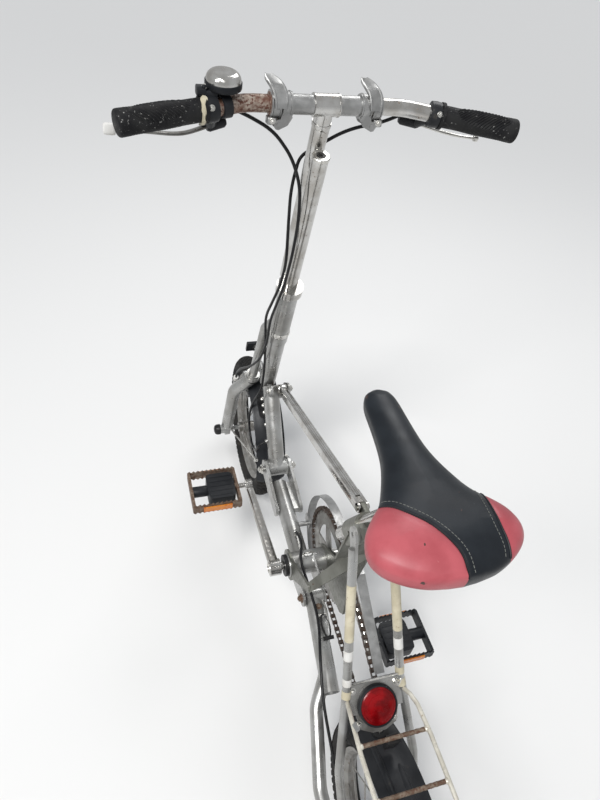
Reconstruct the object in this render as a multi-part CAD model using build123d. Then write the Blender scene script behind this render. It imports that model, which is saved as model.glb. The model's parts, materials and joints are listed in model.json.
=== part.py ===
from build123d import *
import math
import os

os.makedirs("parts", exist_ok=True)

# Ground frame, mm: X right, Y forward, Z up; Y = 0 on the steering axis at bar height.
# Every piece is moved at the end so that the origin is on top of the saddle.
ORIGIN = (0, -480, 780)

# Running fits and gaps
RUN = 0.05
SLIP = 0.1
GAP = 0.4

# Wheels, 14 x 1.75 tyres
CABLE_R = 2.5
WHEEL_R = 174
TYRE_W = 47
RIM_R = 131
RIM_DEPTH = 12
RIM_W = 26
HUB_R = 17
HUB_HALF = 30
HUB_END = 36
AXLE_R = 5
SPOKES = 20
SPOKE_R = 1.0
FRONT_AXLE = (238, 174)
REAR_AXLE = (-647, 174)

# Steering
BAR_Z = 1001.5
RAKE_DEG = 14.4
RING_S = 335
RING_R = 24
RING_H = 16
COLUMN_R = 19
COLUMN_END_S = 477.5
HEAD_R = 17
HEAD_END_S = 622
STEERER_R = 12.7
QUILL_R = 12.5
QUILL_TOP_S = 67
RISER_R = 12.7
RISER_Y = 25
BAR_S = 6.3
TEE_R = 14.5
TEE_HALF = 18

# Handlebar
BAR_R = 11.1
CENTRE_BAR_R = 12.7
HINGE_X = 66
HINGE_DROP = 22
HINGE_R = 7
KNUCKLE_R = 14.5
FIXED_END_X = 63
BAR_BEND_X = 110
BAR_END_X = 275
BAR_BACK = 45
BAR_FALL = 14
GRIP_X = 168
GRIP_R = 15.5
LEVER_X = 157
BELL_X = 139

# Folding frame, pivots as (y, z)
H1 = (22, 264)
BB = (-218, 271)
H2 = (-290, 275)
TIE_FRONT = (108, 412)
TIE_REAR = (-309, 554)
STAY_TOP = (-380, 600)
TIE_X = 19
TIE_HALF = 8.5
TIE_WALL = 4.5
MAIN_TOP = (138, 395.7)
MAIN_TOP_X = 3
MAIN_R = 17
MAIN_BORE_R = 15
PIN_R = 6
BARREL_HALF = 22
EAR_IN = 22.5
EAR_OUT = 28.5
BB_R = 21.5
BB_LEFT = -42
BB_RIGHT = 34
SPINDLE_R = 8
ARM_X = -13
ARM_HALF = 15
ARM_R = 15
ARM_GAP_LEFT = 2.6
ARM_GAP_RIGHT = 1.4
PLATE_T = 4

# Drive
CHAIN_X = 42
PITCH = 12.7
RING_PITCH_R = 93
RING_TEETH = 46
COG_PITCH_R = 30.5
COG_TEETH = 15
LINK_H = 7.2
LINK_W = (7.6, 5.2)
CRANK_L = 165
CRANK_DEG = 20
CRANK_X = -71
GUARD_X0 = 34.5
GUARD_X1 = 50.5
PEDAL_X = {-1: 152, 1: 140}
CRANK_END_X = {-1: 85, 1: 75}
PEDAL_W = 92
PEDAL_D = 84

# Fenders, rack and saddle
FENDER_R = 188
FENDER_HALF = 34
FRONT_FENDER_HALF = 30
FENDER_T = 1.6
RACK_X = 50
RACK_Z = 397
RACK_WIRE_R = 3.2
RACK_CROSS_Y = (-572, -636, -700, -758)
POST_R = 12.7
POST_BASE = (-345, 560)
POST_DIR = (-0.469, 0.883)
POST_UP = 186
POST_DOWN = 75
CLAMP_R = 16.5
SADDLE_TOP = 780
SADDLE_H = 44
SADDLE_RIM = 760
SADDLE_HALF = ((-291, 5), (-294, 13), (-300, 18), (-313, 21.5), (-345, 23.5), (-376, 26.5), (-400, 32),
               (-427, 43), (-448, 54), (-462, 67), (-478, 80), (-492, 85.5), (-503, 86.5), (-513, 83.5),
               (-522, 77), (-531, 66), (-539, 52), (-545, 36), (-548.5, 16))


def at(x, yz):
    return Vector(x, yz[0], yz[1])


def rod(p, q, r, r2=None):
    p = Vector(*p)
    q = Vector(*q)
    plane = Plane(origin=p, z_dir=q - p)
    if r2 is None:
        return Solid.make_cylinder(r, (q - p).length, plane)
    return Solid.make_cone(r, r2, (q - p).length, plane)


def barrel(x0, x1, yz, r):
    return rod((x0, yz[0], yz[1]), (x1, yz[0], yz[1]), r)


def swept(points, r, bend):
    path = FilletPolyline(*[Vector(*p) for p in points], radius=bend)
    start = Plane(origin=path @ 0, z_dir=path % 0)
    return sweep(start * Circle(r), path=path)


def plate(x0, x1, points):
    """Flat plate between x0 and x1 with its outline given as (y, z) points."""
    plane = Plane(origin=(x0, 0, 0), x_dir=(0, 1, 0), z_dir=(1, 0, 0))
    face = make_face(Polyline(*[(y, z) for y, z in points], close=True))
    return extrude(plane * face, amount=x1 - x0)


def tangent_hull(a, ra, b, rb):
    """Outline points round two circles in the y-z plane."""
    dy = b[0] - a[0]
    dz = b[1] - a[1]
    dist = math.hypot(dy, dz)
    base = math.atan2(dz, dy)
    turn = math.acos((ra - rb) / dist)
    points = []
    for i in range(9):
        t = base + turn + (2 * math.pi - 2 * turn) * i / 8
        points.append((a[0] + ra * math.cos(t), a[1] + ra * math.sin(t)))
    for i in range(9):
        t = base - turn + 2 * turn * i / 8
        points.append((b[0] + rb * math.cos(t), b[1] + rb * math.sin(t)))
    return points


def link_plate(x0, x1, a, ra, b, rb):
    return plate(x0, x1, tangent_hull(a, ra, b, rb))


def ring(x0, x1, yz, r_out, r_in):
    return barrel(x0, x1, yz, r_out) - barrel(x0 - 1, x1 + 1, yz, r_in)


def arc_band(x0, x1, yz, r_out, r_in, deg0, deg1):
    """Part of a ring between two angles, counted from forward to up."""
    steps = max(4, int((deg1 - deg0) / 20) + 1)
    wedge = [yz]
    for i in range(steps + 1):
        t = math.radians(deg0 + (deg1 - deg0) * i / steps)
        reach = r_out * 1.6
        wedge.append((yz[0] + reach * math.cos(t), yz[1] + reach * math.sin(t)))
    return ring(x0, x1, yz, r_out, r_in) & plate(x0 - 1, x1 + 1, wedge)


T = math.radians(RAKE_DEG)
STEER = Plane(origin=(0, 0, BAR_Z), x_dir=(1, 0, 0), z_dir=(0, -math.sin(T), math.cos(T)))


def st(x, y, s):
    """Ground point from the steering frame: s runs down the axis from bar height."""
    c = math.cos(T)
    k = math.sin(T)
    return (x, y * c + s * k, BAR_Z + y * k - s * c)


def bar_point(x, y=0, z=0):
    """Ground point on the bar line at this x, with an offset across the bar."""
    side = 1 if x > 0 else -1
    far = max(0.0, abs(x) - BAR_BEND_X) / (BAR_END_X - BAR_BEND_X)
    base = st(0, RISER_Y, BAR_S)
    return (x, base[1] - BAR_BACK * far + y, base[2] - BAR_FALL * far + z)


def cable(points, r, arc_min):
    """Round cable through points, with a tangent arc at each corner."""
    pts = [Vector(*p) for p in points]
    edges = []
    start = pts[0]
    for i in range(1, len(pts) - 1):
        a = pts[i - 1] - pts[i]
        b = pts[i + 1] - pts[i]
        half = (math.pi - a.get_angle(b) * math.pi / 180) / 2
        short = min(a.length, b.length)
        radius = max(arc_min, 0.45 * short / math.tan(half))
        cut = min(radius * math.tan(half), 0.48 * short)
        p0 = pts[i] + a.normalized() * cut
        p1 = pts[i] + b.normalized() * cut
        radius = cut / math.tan(half)
        axis = (a.normalized() + b.normalized()).normalized()
        centre = pts[i] + axis * (radius / math.cos(half))
        top = centre - axis * radius
        edges.append(Edge.make_line(start, p0))
        edges.append(Edge.make_three_point_arc(p0, top, p1))
        start = p1
    edges.append(Edge.make_line(start, pts[-1]))
    wire = Wire(edges)
    plane = Plane(origin=pts[0], z_dir=pts[1] - pts[0])
    return sweep(plane * Circle(r), path=wire)


PARTS = {}


def keep(name, shape):
    PARTS[name] = shape


# Wheels
def wheel_frame(yz):
    return Plane(origin=(0, yz[0], yz[1]), x_dir=(0, 1, 0), z_dir=(1, 0, 0))


def make_tyre(yz):
    tube = TYRE_W / 2
    whole = Solid.make_torus(WHEEL_R - tube, tube, wheel_frame(yz))
    return whole - barrel(-40, 40, yz, RIM_R + SLIP)


def make_rim(yz):
    half = RIM_W / 2
    outer = RIM_R
    inner = RIM_R - RIM_DEPTH
    well = outer - 7
    profile = [(-half, outer), (-half + 3, outer), (-half + 4, well), (half - 4, well),
               (half - 3, outer), (half, outer), (half - 2, inner + 5), (half - 8, inner),
               (-half + 8, inner), (-half + 2, inner + 5)]
    face = make_face(Polyline(*[(x, 0, r) for x, r in profile], close=True))
    solid = revolve(face, axis=Axis((0, 0, 0), (1, 0, 0)))
    return Pos(0, yz[0], yz[1]) * solid


def make_spokes(yz):
    rods = []
    for i in range(SPOKES):
        side = 1 if i % 2 else -1
        lean = 0.62 if (i // 2) % 2 else -0.62
        a = 2 * math.pi * i / SPOKES
        inner = (side * (HUB_HALF - 4), yz[0] + 15 * math.cos(a + lean), yz[1] + 15 * math.sin(a + lean))
        reach = RIM_R - RIM_DEPTH + 3
        outer = (side * 3, yz[0] + reach * math.cos(a), yz[1] + reach * math.sin(a))
        rods.append(rod(inner, outer, SPOKE_R))
    return rods


def make_hub(yz):
    body = barrel(-HUB_END, HUB_END, yz, 12)
    for side in (-1, 1):
        x = side * (HUB_HALF - 4)
        body += barrel(x - 2, x + 2, yz, HUB_R + 3)
    return body - barrel(-HUB_END - 1, HUB_END + 1, yz, AXLE_R + RUN)


def make_wheel(yz):
    solid = make_rim(yz) + make_hub(yz)
    for spoke in make_spokes(yz):
        solid += spoke
    return solid


keep("front_tyre", make_tyre(FRONT_AXLE))
keep("rear_tyre", make_tyre(REAR_AXLE))
keep("front_rim", make_wheel(FRONT_AXLE))
rear_rim = make_wheel(REAR_AXLE)
keep("rear_rim", rear_rim)


# Toothed wheels
def toothed(x0, x1, yz, pitch_r, teeth, bore):
    root = pitch_r - 9
    tip = pitch_r - LINK_H / 2 - 0.8
    points = []
    for i in range(teeth):
        for part, r in ((0.0, root), (0.32, root), (0.5, tip), (0.82, tip)):
            a = 2 * math.pi * (i + part) / teeth
            points.append((yz[0] + r * math.cos(a), yz[1] + r * math.sin(a)))
    return plate(x0, x1, points) - barrel(x0 - 1, x1 + 1, yz, bore)


chainring = toothed(CHAIN_X - 1.2, CHAIN_X + 1.2, BB, RING_PITCH_R, RING_TEETH, 62)
spider_a = math.radians(CRANK_DEG + 180)
for i in range(5):
    a = spider_a + 2 * math.pi * i / 5
    tip = (BB[0] + 66 * math.cos(a), BB[1] + 66 * math.sin(a))
    chainring += link_plate(CHAIN_X - 1.2, CHAIN_X + 1.2, BB, 17, tip, 9)
chainring -= barrel(30, 60, BB, SPINDLE_R + SLIP)
keep("chainring", chainring)
cog = toothed(CHAIN_X - 1.2, CHAIN_X + 1.2, REAR_AXLE, COG_PITCH_R, COG_TEETH, AXLE_R + RUN)
cog += ring(HUB_END + SLIP, CHAIN_X + 4, REAR_AXLE, 14, AXLE_R + RUN)
keep("rear_sprocket", cog)


# Chain
def chain_point(s, base, turn, run, lengths):
    a0 = base - turn
    a1 = base + turn
    if s < lengths[0]:
        start = (BB[0] + RING_PITCH_R * math.cos(a0), BB[1] + RING_PITCH_R * math.sin(a0))
        end = (REAR_AXLE[0] + COG_PITCH_R * math.cos(a0), REAR_AXLE[1] + COG_PITCH_R * math.sin(a0))
        t = s / lengths[0]
        return (start[0] + (end[0] - start[0]) * t, start[1] + (end[1] - start[1]) * t)
    s -= lengths[0]
    if s < lengths[1]:
        a = a0 + s / COG_PITCH_R
        return (REAR_AXLE[0] + COG_PITCH_R * math.cos(a), REAR_AXLE[1] + COG_PITCH_R * math.sin(a))
    s -= lengths[1]
    if s < lengths[2]:
        start = (REAR_AXLE[0] + COG_PITCH_R * math.cos(a1), REAR_AXLE[1] + COG_PITCH_R * math.sin(a1))
        end = (BB[0] + RING_PITCH_R * math.cos(a1), BB[1] + RING_PITCH_R * math.sin(a1))
        t = s / lengths[2]
        return (start[0] + (end[0] - start[0]) * t, start[1] + (end[1] - start[1]) * t)
    s -= lengths[2]
    a = a1 + s / RING_PITCH_R
    return (BB[0] + RING_PITCH_R * math.cos(a), BB[1] + RING_PITCH_R * math.sin(a))


def make_chain():
    dy = REAR_AXLE[0] - BB[0]
    dz = REAR_AXLE[1] - BB[1]
    dist = math.hypot(dy, dz)
    base = math.atan2(dz, dy)
    turn = math.acos((RING_PITCH_R - COG_PITCH_R) / dist)
    run = math.sqrt(dist ** 2 - (RING_PITCH_R - COG_PITCH_R) ** 2)
    lengths = (run, COG_PITCH_R * 2 * turn, run, RING_PITCH_R * (2 * math.pi - 2 * turn))
    total = sum(lengths)
    count = 2 * round(total / PITCH / 2)
    links = []
    for i in range(count):
        p = chain_point(total * i / count, base, turn, run, lengths)
        q = chain_point(total * ((i + 1) % count) / count, base, turn, run, lengths)
        wide = LINK_W[i % 2] / 2
        dy = q[0] - p[0]
        dz = q[1] - p[1]
        step = math.hypot(dy, dz)
        uy = dy / step
        uz = dz / step
        h = LINK_H / 2
        points = []
        for along, across in ((0.03, -0.5), (0.15, -1), (0.85, -1), (0.97, -0.5),
                              (0.97, 0.5), (0.85, 1), (0.15, 1), (0.03, 0.5)):
            points.append((p[0] + uy * along * step - uz * across * h,
                           p[1] + uz * along * step + uy * across * h))
        links.append(plate(CHAIN_X - wide, CHAIN_X + wide, points))
    return Compound(children=[Solid(link.wrapped) if not isinstance(link, Solid) else link
                              for link in links])


keep("chain", make_chain())


# Front frame: head tube, main tube, folding barrel and tie bracket
head = STEER * Solid.make_cylinder(HEAD_R, HEAD_END_S - COLUMN_END_S - GAP,
                                   Plane(origin=(0, 0, -HEAD_END_S)))
head_foot = STEER * Pos(0, 0, -HEAD_END_S) * Solid.make_sphere(HEAD_R, angle1=-90, angle2=0)
main = rod(at(MAIN_TOP_X, MAIN_TOP), at(0, H1), MAIN_R)
frame_a = head + head_foot + main
frame_a += barrel(-BARREL_HALF, BARREL_HALF, H1, MAIN_R)
main_top = at(MAIN_TOP_X, MAIN_TOP)
main_dir = (at(0, H1) - main_top).normalized()
bore = rod(main_top - main_dir * 1, main_top + main_dir * 45, MAIN_BORE_R)
for x0 in (-7, 30):
    frame_a += plate(x0, x0 + PLATE_T, tangent_hull(TIE_FRONT, 12, (122, 398), 14))
frame_a += plate(-7, 30 + PLATE_T, [(122, 372), (137, 389), (131, 400), (114, 384)])
frame_a -= bore - head - head_foot
frame_a += rod((-12, 62, 309.4), (-20, 60.5, 306.5), 4.5)
frame_a -= barrel(-50, 50, H1, PIN_R + RUN)
steer_bore = STEER * Solid.make_cylinder(STEERER_R + RUN, HEAD_END_S - COLUMN_END_S - 8,
                                         Plane(origin=(0, 0, -HEAD_END_S + 10)))
frame_a -= steer_bore
keep("front_frame", frame_a)

# Mid frame: mid tube, ears with the pin, bottom bracket tube, arm plates
mid = rod((-3, -12, 245), (-8, -200, 251), MAIN_R)
bb_tube = barrel(BB_LEFT, BB_RIGHT, BB, BB_R)
mid_frame = mid + bb_tube
for x0 in (-EAR_OUT, EAR_IN):
    mid_frame += link_plate(x0, x0 + EAR_OUT - EAR_IN, H1, 20, (-75, 248), 14)
mid_frame += plate(-EAR_OUT, EAR_OUT, [(-14, 236), (-14, 254), (-84, 254), (-84, 240)])
mid_frame += barrel(-EAR_OUT - 4, EAR_OUT + 4, H1, PIN_R)
arm_plates = (ARM_X - ARM_HALF - ARM_GAP_LEFT - PLATE_T, ARM_X + ARM_HALF + ARM_GAP_RIGHT)
for x0 in arm_plates:
    mid_frame += link_plate(x0, x0 + PLATE_T, BB, BB_R, H2, 15)
mid_frame += barrel(arm_plates[0], arm_plates[1] + PLATE_T, H2, PIN_R)
mid_frame -= barrel(BB_LEFT - 5, BB_RIGHT + 5, BB, SPINDLE_R + RUN)
keep("mid_frame", mid_frame)

# Bearing cups
cup_l = ring(BB_LEFT - 6, BB_LEFT - SLIP, BB, BB_R - 1.5, SPINDLE_R + RUN)
cup_r = ring(BB_RIGHT + SLIP, BB_RIGHT + 4, BB, BB_R - 3, SPINDLE_R + RUN)
keep("bearing_cups", Compound(children=[cup_l, cup_r]))

# Rear arm: straight tube, bowed tube and axle
arm_end = (-26, -448, 246)
rear_arm = barrel(ARM_X - ARM_HALF, ARM_X + ARM_HALF, H2, ARM_R + 2)
rear_arm += rod(at(ARM_X, H2), arm_end, ARM_R)
rear_arm += swept([(-22, -410, 254), (-50, -455, 222), (-70, -560, 181), (-70, -602, 177.5)], 11, 45)
rear_arm += rod((-70, -600, 178), (-64, -622, 176), 10)
rear_arm += link_plate(-66, -60, REAR_AXLE, 15, (-620, 176), 10)
arm_dir = (Vector(*arm_end) - at(ARM_X, H2)).normalized()
rear_arm -= rod(Vector(*arm_end) - arm_dir * 22, Vector(*arm_end) + arm_dir * 1, ARM_R - 2.5)
rear_arm -= barrel(-60, 30, H2, PIN_R + RUN)
rear_arm += barrel(-80, 76, REAR_AXLE, AXLE_R)
keep("rear_arm", rear_arm)

# Rear drum brake and the cable to it from the mid tube
drum = barrel(-46, -HUB_END - 1.5, REAR_AXLE, 36)
drum += link_plate(-46, -42, REAR_AXLE, 20, (-600, 190), 7)
drum -= barrel(-60, 0, REAR_AXLE, AXLE_R + RUN)
keep("rear_brake", drum)
lower_run = [(-6, -150, 271), (-6, -185, 290), (-24, -232, 303), (-24, -285, 306), (-22, -345, 296),
             (-36, -400, 290), (-46, -460, 262), (-45, -520, 225), (-44, -575, 197), (-44, -592.6, 192)]
keep("lower_brake_cable", cable(lower_run, CABLE_R, 12))

# Seat bracket: right plate, slanted gusset to the left ring, web, post clamp, tie and stay lugs
GUSSET_LOW = (-311, 347)
GUSSET_HIGH = ((-318, 476), (-352, 486))
GUSSET_T = 3


def gusset():
    """Slanted strip from the left ring's lug up to the right plate, widening to the right."""
    low = (GUSSET_LOW[0] + 8, GUSSET_LOW[1])
    low_back = (GUSSET_LOW[0] - 8, GUSSET_LOW[1])
    sections = []
    for x, front, back in ((BR_L, low, low_back), (BR_R + PLATE_T, GUSSET_HIGH[0], GUSSET_HIGH[1])):
        points = [front, back, (back[0], back[1] - GUSSET_T), (front[0], front[1] - GUSSET_T)]
        sections.append(make_face(Polyline(*[(x, y, z) for y, z in points], close=True)))
    return loft(sections)


BR_L = BB_LEFT + 2.5
BR_R = BB_RIGHT - 5
outline = [(-207, 299), (-262, 336), (-312, 500), (-330, 545), (-336, 566), (-354, 566), (-356, 530),
           (-326, 330), (-334, 272), (-322, 258), (-290, 252), (-214, 243)]
bracket_e = plate(BR_R, BR_R + PLATE_T, outline) + barrel(BR_R, BR_R + PLATE_T, BB, BB_R + 7)
bracket_e += barrel(BR_L, BR_L + PLATE_T, BB, BB_R + 7)
bracket_e += link_plate(BR_L, BR_L + PLATE_T, BB, 21.8, GUSSET_LOW, 7)
bracket_e += gusset()
web = [(-341, 478), (-343, 480), (-357, 567), (-353, 567), (-350, 545), (-339, 478)]
bracket_e += plate(-22, BR_R + PLATE_T, web)
post_u = Vector(0, POST_DIR[0], POST_DIR[1])
clamp_mid = at(0, POST_BASE)
bracket_e += rod(clamp_mid - post_u * 30, clamp_mid + post_u * 30, CLAMP_R)
bracket_e += plate(-20, 20, [(-344, 552), (-352, 580), (-370, 608), (-380, 611), (-391, 600), (-388, 586),
                             (-372, 560), (-356, 536)])
lug_half = TIE_HALF - TIE_WALL - 0.5
bracket_e += link_plate(TIE_X - lug_half, TIE_X + lug_half, TIE_REAR, 8, (-338, 556), 12)
bracket_e += barrel(TIE_X - TIE_HALF - 2, TIE_X + TIE_HALF + 2, TIE_REAR, 4)
bracket_e -= rod(clamp_mid - post_u * 120, clamp_mid + post_u * 120, POST_R + RUN)
bracket_e -= barrel(-60, 60, BB, BB_R + RUN)
keep("seat_bracket", bracket_e)

# Seat post and saddle
post_top = clamp_mid + post_u * POST_UP
keep("seat_post", rod(clamp_mid - post_u * POST_DOWN, post_top - post_u * 3, POST_R))
half_pts = [(w, y) for y, w in SADDLE_HALF]
ring_pts = half_pts + [(-w, y) for w, y in reversed(half_pts)]
saddle_face = Plane(origin=(0, 0, SADDLE_RIM)) * make_face(Polyline(*ring_pts, close=True))
saddle = extrude(saddle_face, amount=SADDLE_TOP - SADDLE_RIM, taper=28)
saddle += extrude(saddle_face, amount=-(SADDLE_H - SADDLE_TOP + SADDLE_RIM), taper=12)
keep("saddle_cover", saddle)
pan = [(w * 0.74, y * 0.84 - 68) for w, y in half_pts]
pan_ring = pan + [(-w, y) for w, y in reversed(pan)]
pan_z = SADDLE_TOP - SADDLE_H - 3 - GAP
under = extrude(Plane(origin=(0, 0, pan_z)) * make_face(Polyline(*pan_ring, close=True)), amount=3)
under += rod(post_top - post_u * 32, post_top, POST_R + 6)
under += barrel(-26, 26, (post_top.Y, post_top.Z - 6), 7)
for side in (-1, 1):
    rail = swept([(side * 12, -318, pan_z - 2), (side * 20, -360, pan_z - 22), (side * 20, -480, pan_z - 22),
                  (side * 34, -530, pan_z - 2)], 3.5, 12)
    under += rail
    under += plate(side * 20 - 4, side * 20 + 4, [(post_top.Y - 12, pan_z - 26), (post_top.Y + 12, pan_z - 26), (post_top.Y + 12, pan_z), (post_top.Y - 12, pan_z)])
under -= rod(post_top - post_u * 60, post_top - post_u * 2.5, POST_R + RUN)
under &= Pos(0, 0, pan_z + 3 - 200) * Box(400, 2000, 400)
keep("saddle_frame", under)

# Tie rod
tf = at(TIE_X, TIE_FRONT)
tr = at(TIE_X, TIE_REAR)
tie_u = (tr - tf).normalized()
tie_n = Vector(1, 0, 0).cross(tie_u)
tie_len = (tr - tf).length


def tie_yz(along, across):
    p = tf + tie_u * along + tie_n * across
    return (p.Y, p.Z)


tie = barrel(TIE_X - 9.5, TIE_X + 9.5, TIE_FRONT, 10)
tie += rod(tf, tf + tie_u * (tie_len * 0.47), 9)
split0 = tie_len * 0.42
tie += plate(TIE_X - TIE_HALF, TIE_X + TIE_HALF, [tie_yz(split0, -9), tie_yz(tie_len * 0.5, -9), tie_yz(tie_len * 0.5, 9), tie_yz(split0, 9)])
for x0 in (TIE_X - TIE_HALF, TIE_X + TIE_HALF - TIE_WALL):
    tie += plate(x0, x0 + TIE_WALL, [tie_yz(tie_len * 0.49, -8), tie_yz(tie_len, -8), tie_yz(tie_len, 8), tie_yz(tie_len * 0.49, 8)])
    tie += barrel(x0, x0 + TIE_WALL, TIE_REAR, 8)
tie -= barrel(TIE_X - 30, TIE_X + 30, TIE_REAR, 4 + RUN)
tie -= barrel(TIE_X - 30, TIE_X + 30, TIE_FRONT, 5)
keep("tie_rod", tie)

# Rear stays
STAY_R = 6.5
STAY_KNEE = (41, -495, 395)
STAY_FLARE = (59, -568, 288)
REFL_AT = (-519, 373)
REFL_DEG = 48
REFL_R = 29.5
REFL_T = 9
stays = None
for side in (-1, 1):
    knee = (side * STAY_KNEE[0], STAY_KNEE[1], STAY_KNEE[2])
    flare = (side * STAY_FLARE[0], STAY_FLARE[1], STAY_FLARE[2])
    low = (side * 56, REAR_AXLE[0] + 18, REAR_AXLE[1] + 27)
    one = swept([(side * 29, -390, 582), knee, flare, low], STAY_R, 45)
    one += link_plate(side * 28 - 2, side * 28 + 2, STAY_TOP, 11, (-396, 572), 8)
    one += link_plate(side * 56 - 2, side * 56 + 2, REAR_AXLE, 13, (REAR_AXLE[0] + 20, REAR_AXLE[1] + 30), 8)
    stays = one if stays is None else stays + one
refl_n = Vector(0, -math.cos(math.radians(REFL_DEG)), math.sin(math.radians(REFL_DEG)))
refl_up = Vector(0, -refl_n.Z, refl_n.Y) * -1
refl_mid = Vector(0, *REFL_AT)


def on_reflector(out, up):
    p = refl_mid + refl_n * out + refl_up * up
    return (p.Y, p.Z)


stays += plate(-40, 40, [on_reflector(-SLIP, -8), on_reflector(-SLIP, 34), on_reflector(-3, 34), on_reflector(-3, -8)])
stays -= barrel(-90, 90, REAR_AXLE, AXLE_R + RUN)
stays -= barrel(-90, 90, STAY_TOP, 4)
keep("rear_stays", stays)
keep("rear_reflector", rod(refl_mid, refl_mid + refl_n * REFL_T, REFL_R))

# Rear rack
rack = None
for side in (-1, 1):
    x = side * RACK_X
    wire = swept([(side * 43.6, -511.1, 383.3), (side * 46.5, -523, 391.5), (side * 49, -540, RACK_Z),
                  (side * 51, -580, RACK_Z), (x, -760, RACK_Z)], RACK_WIRE_R, 8)
    leg = swept([(x, -728, RACK_Z), (side * 71, -695, 250), (side * 71, REAR_AXLE[0] - 3, REAR_AXLE[1] + 8)],
                RACK_WIRE_R - 0.3, 30)
    rack = wire + leg if rack is None else rack + wire + leg
    rack += barrel(side * 71 - 2, side * 71 + 2, REAR_AXLE, 11)
for y in RACK_CROSS_Y:
    rack += barrel(-RACK_X, RACK_X, (y, RACK_Z), RACK_WIRE_R - 0.5)
rack -= barrel(-90, 90, REAR_AXLE, AXLE_R + RUN)
keep("rear_rack", rack)
keep("rear_fender", arc_band(-FENDER_HALF, FENDER_HALF, REAR_AXLE, FENDER_R + FENDER_T, FENDER_R, 42, 190)
     + plate(-8, 8, [(-569, 344), (-575, 346), (-578, RACK_Z - RACK_WIRE_R + 0.4), (-566, RACK_Z - RACK_WIRE_R + 0.4)]))

# Chain guard
guard = arc_band(GUARD_X0, GUARD_X1, BB, 118, 116, -75, 112)
guard += plate(GUARD_X0, GUARD_X1, [(-259, 378.5), (-258, 380.5), (-327, 389), (-459, 312), (-458, 310), (-327, 387)])
guard += plate(31, 36, [(-101, 238), (-101, 258), (-128, 256), (-128, 240)])
guard += barrel(4, 36, (-120, 248), 5) - rod((-3, -12, 245), (-8, -200, 251), MAIN_R + SLIP)
keep("chain_guard", guard)

# Cranks and pedals
ca = math.radians(CRANK_DEG)
pl = (BB[0] + CRANK_L * math.cos(ca), BB[1] + CRANK_L * math.sin(ca))
pr = (BB[0] - CRANK_L * math.cos(ca), BB[1] - CRANK_L * math.sin(ca))
cranks = barrel(-60, 60, BB, SPINDLE_R)
cranks += barrel(-76, -56, BB, 15)
cranks += barrel(CHAIN_X + 1.3, 70, BB, 15)
for side, end in ((-1, pl), (1, pr)):
    root = Vector(side * 66, BB[0], BB[1])
    tip = Vector(side * CRANK_END_X[side], end[0], end[1])
    cranks += rod(root, tip, 10, 7)
    cranks += rod(tip - Vector(6, 0, 0), tip + Vector(6, 0, 0), 11)
    cranks += rod(tip, (side * (PEDAL_X[side] + PEDAL_W / 2 - 6), end[0], end[1]), AXLE_R)
keep("cranks", cranks)


def make_pedal(side, yz):
    x0 = side * PEDAL_X[side] - PEDAL_W / 2
    x1 = side * PEDAL_X[side] + PEDAL_W / 2
    core = barrel(x0 + 2, x1 - 2, yz, 9)
    for x in (x0, x1 - 5):
        reach = PEDAL_D / 2 - 3
        core += plate(x, x + 5, [(yz[0] - reach, yz[1] - 10), (yz[0] + reach, yz[1] - 10),
                                 (yz[0] + reach, yz[1] + 10), (yz[0] - reach, yz[1] + 10)])
    for end in (-1, 1):
        y = yz[0] + end * (PEDAL_D / 2 - 1.5)
        teeth = []
        n = 11
        for i in range(n):
            t0 = x0 + (x1 - x0) * i / n
            step = (x1 - x0) / n
            teeth += [(t0, 8), (t0 + step * 0.5, 12), (t0 + step * 0.9, 8)]
        low = [(x, -z) for x, z in reversed(teeth)]
        face = make_face(Polyline(*([(x, z) for x, z in teeth] + [(x1, 8), (x1, -8)] + low), close=True))
        plane = Plane(origin=(0, y - 1.5, yz[1]), x_dir=(1, 0, 0), z_dir=(0, -1, 0))
        core += extrude(Plane(origin=(0, y + 1.5, yz[1]), x_dir=(1, 0, 0), z_dir=(0, -1, 0)) * face, amount=3)
    return core - barrel(x0 - 5, x1 - 4, yz, AXLE_R + RUN) if side > 0 else core - barrel(x0 + 4, x1 + 5, yz, AXLE_R + RUN)


keep("pedal_left", make_pedal(-1, pl))
keep("pedal_right", make_pedal(1, pr))

# Fork: column, steerer, blade, elbow and front axle
column = STEER * Solid.make_cylinder(COLUMN_R, COLUMN_END_S - RING_S - RING_H / 2 - SLIP,
                                     Plane(origin=(0, 0, -COLUMN_END_S)))
steerer = STEER * Solid.make_cylinder(STEERER_R, HEAD_END_S - COLUMN_END_S - 14 + 20,
                                      Plane(origin=(0, 0, -HEAD_END_S + 14)))
blade = swept([st(-9, 16, 445), st(-19.5, 27, 474), st(-27, 22.5, 640)], 9.3, 18)
elbow = swept([st(-26.4, 22.8, 624), st(-28, 22.6, 642), st(-62, 25, 690), st(-66, 24.5, 838)], 14, 26)
fork = column + steerer + blade + elbow
fork += rod(st(-26.9, 22.6, 632), st(-27.2, 22.5, 640), 15.5)
fork += link_plate(-72, -60, FRONT_AXLE, 15, (FRONT_AXLE[0] - 6, FRONT_AXLE[1] + 24), 14)
fork += barrel(-86, HUB_END + 8, FRONT_AXLE, AXLE_R)
fork += barrel(-88, -72, FRONT_AXLE, 11)
fork += rod(st(-38, 26, 655), st(0, 41, 652), 5)
fork += rod(st(0, 35, 652), st(0, 49, 652), 6)
fork += swept([st(-24, 25, 612), st(-12, 40, 612), st(-12, 71.9, 612)], 3, 10)
keep("fork", fork)
keep("lock_ring", STEER * (Solid.make_cylinder(RING_R, RING_H, Plane(origin=(0, 0, -RING_S - RING_H / 2)))
                           - Solid.make_cylinder(QUILL_R + SLIP, RING_H + 2,
                                                 Plane(origin=(0, 0, -RING_S - RING_H / 2 - 1)))))

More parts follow.
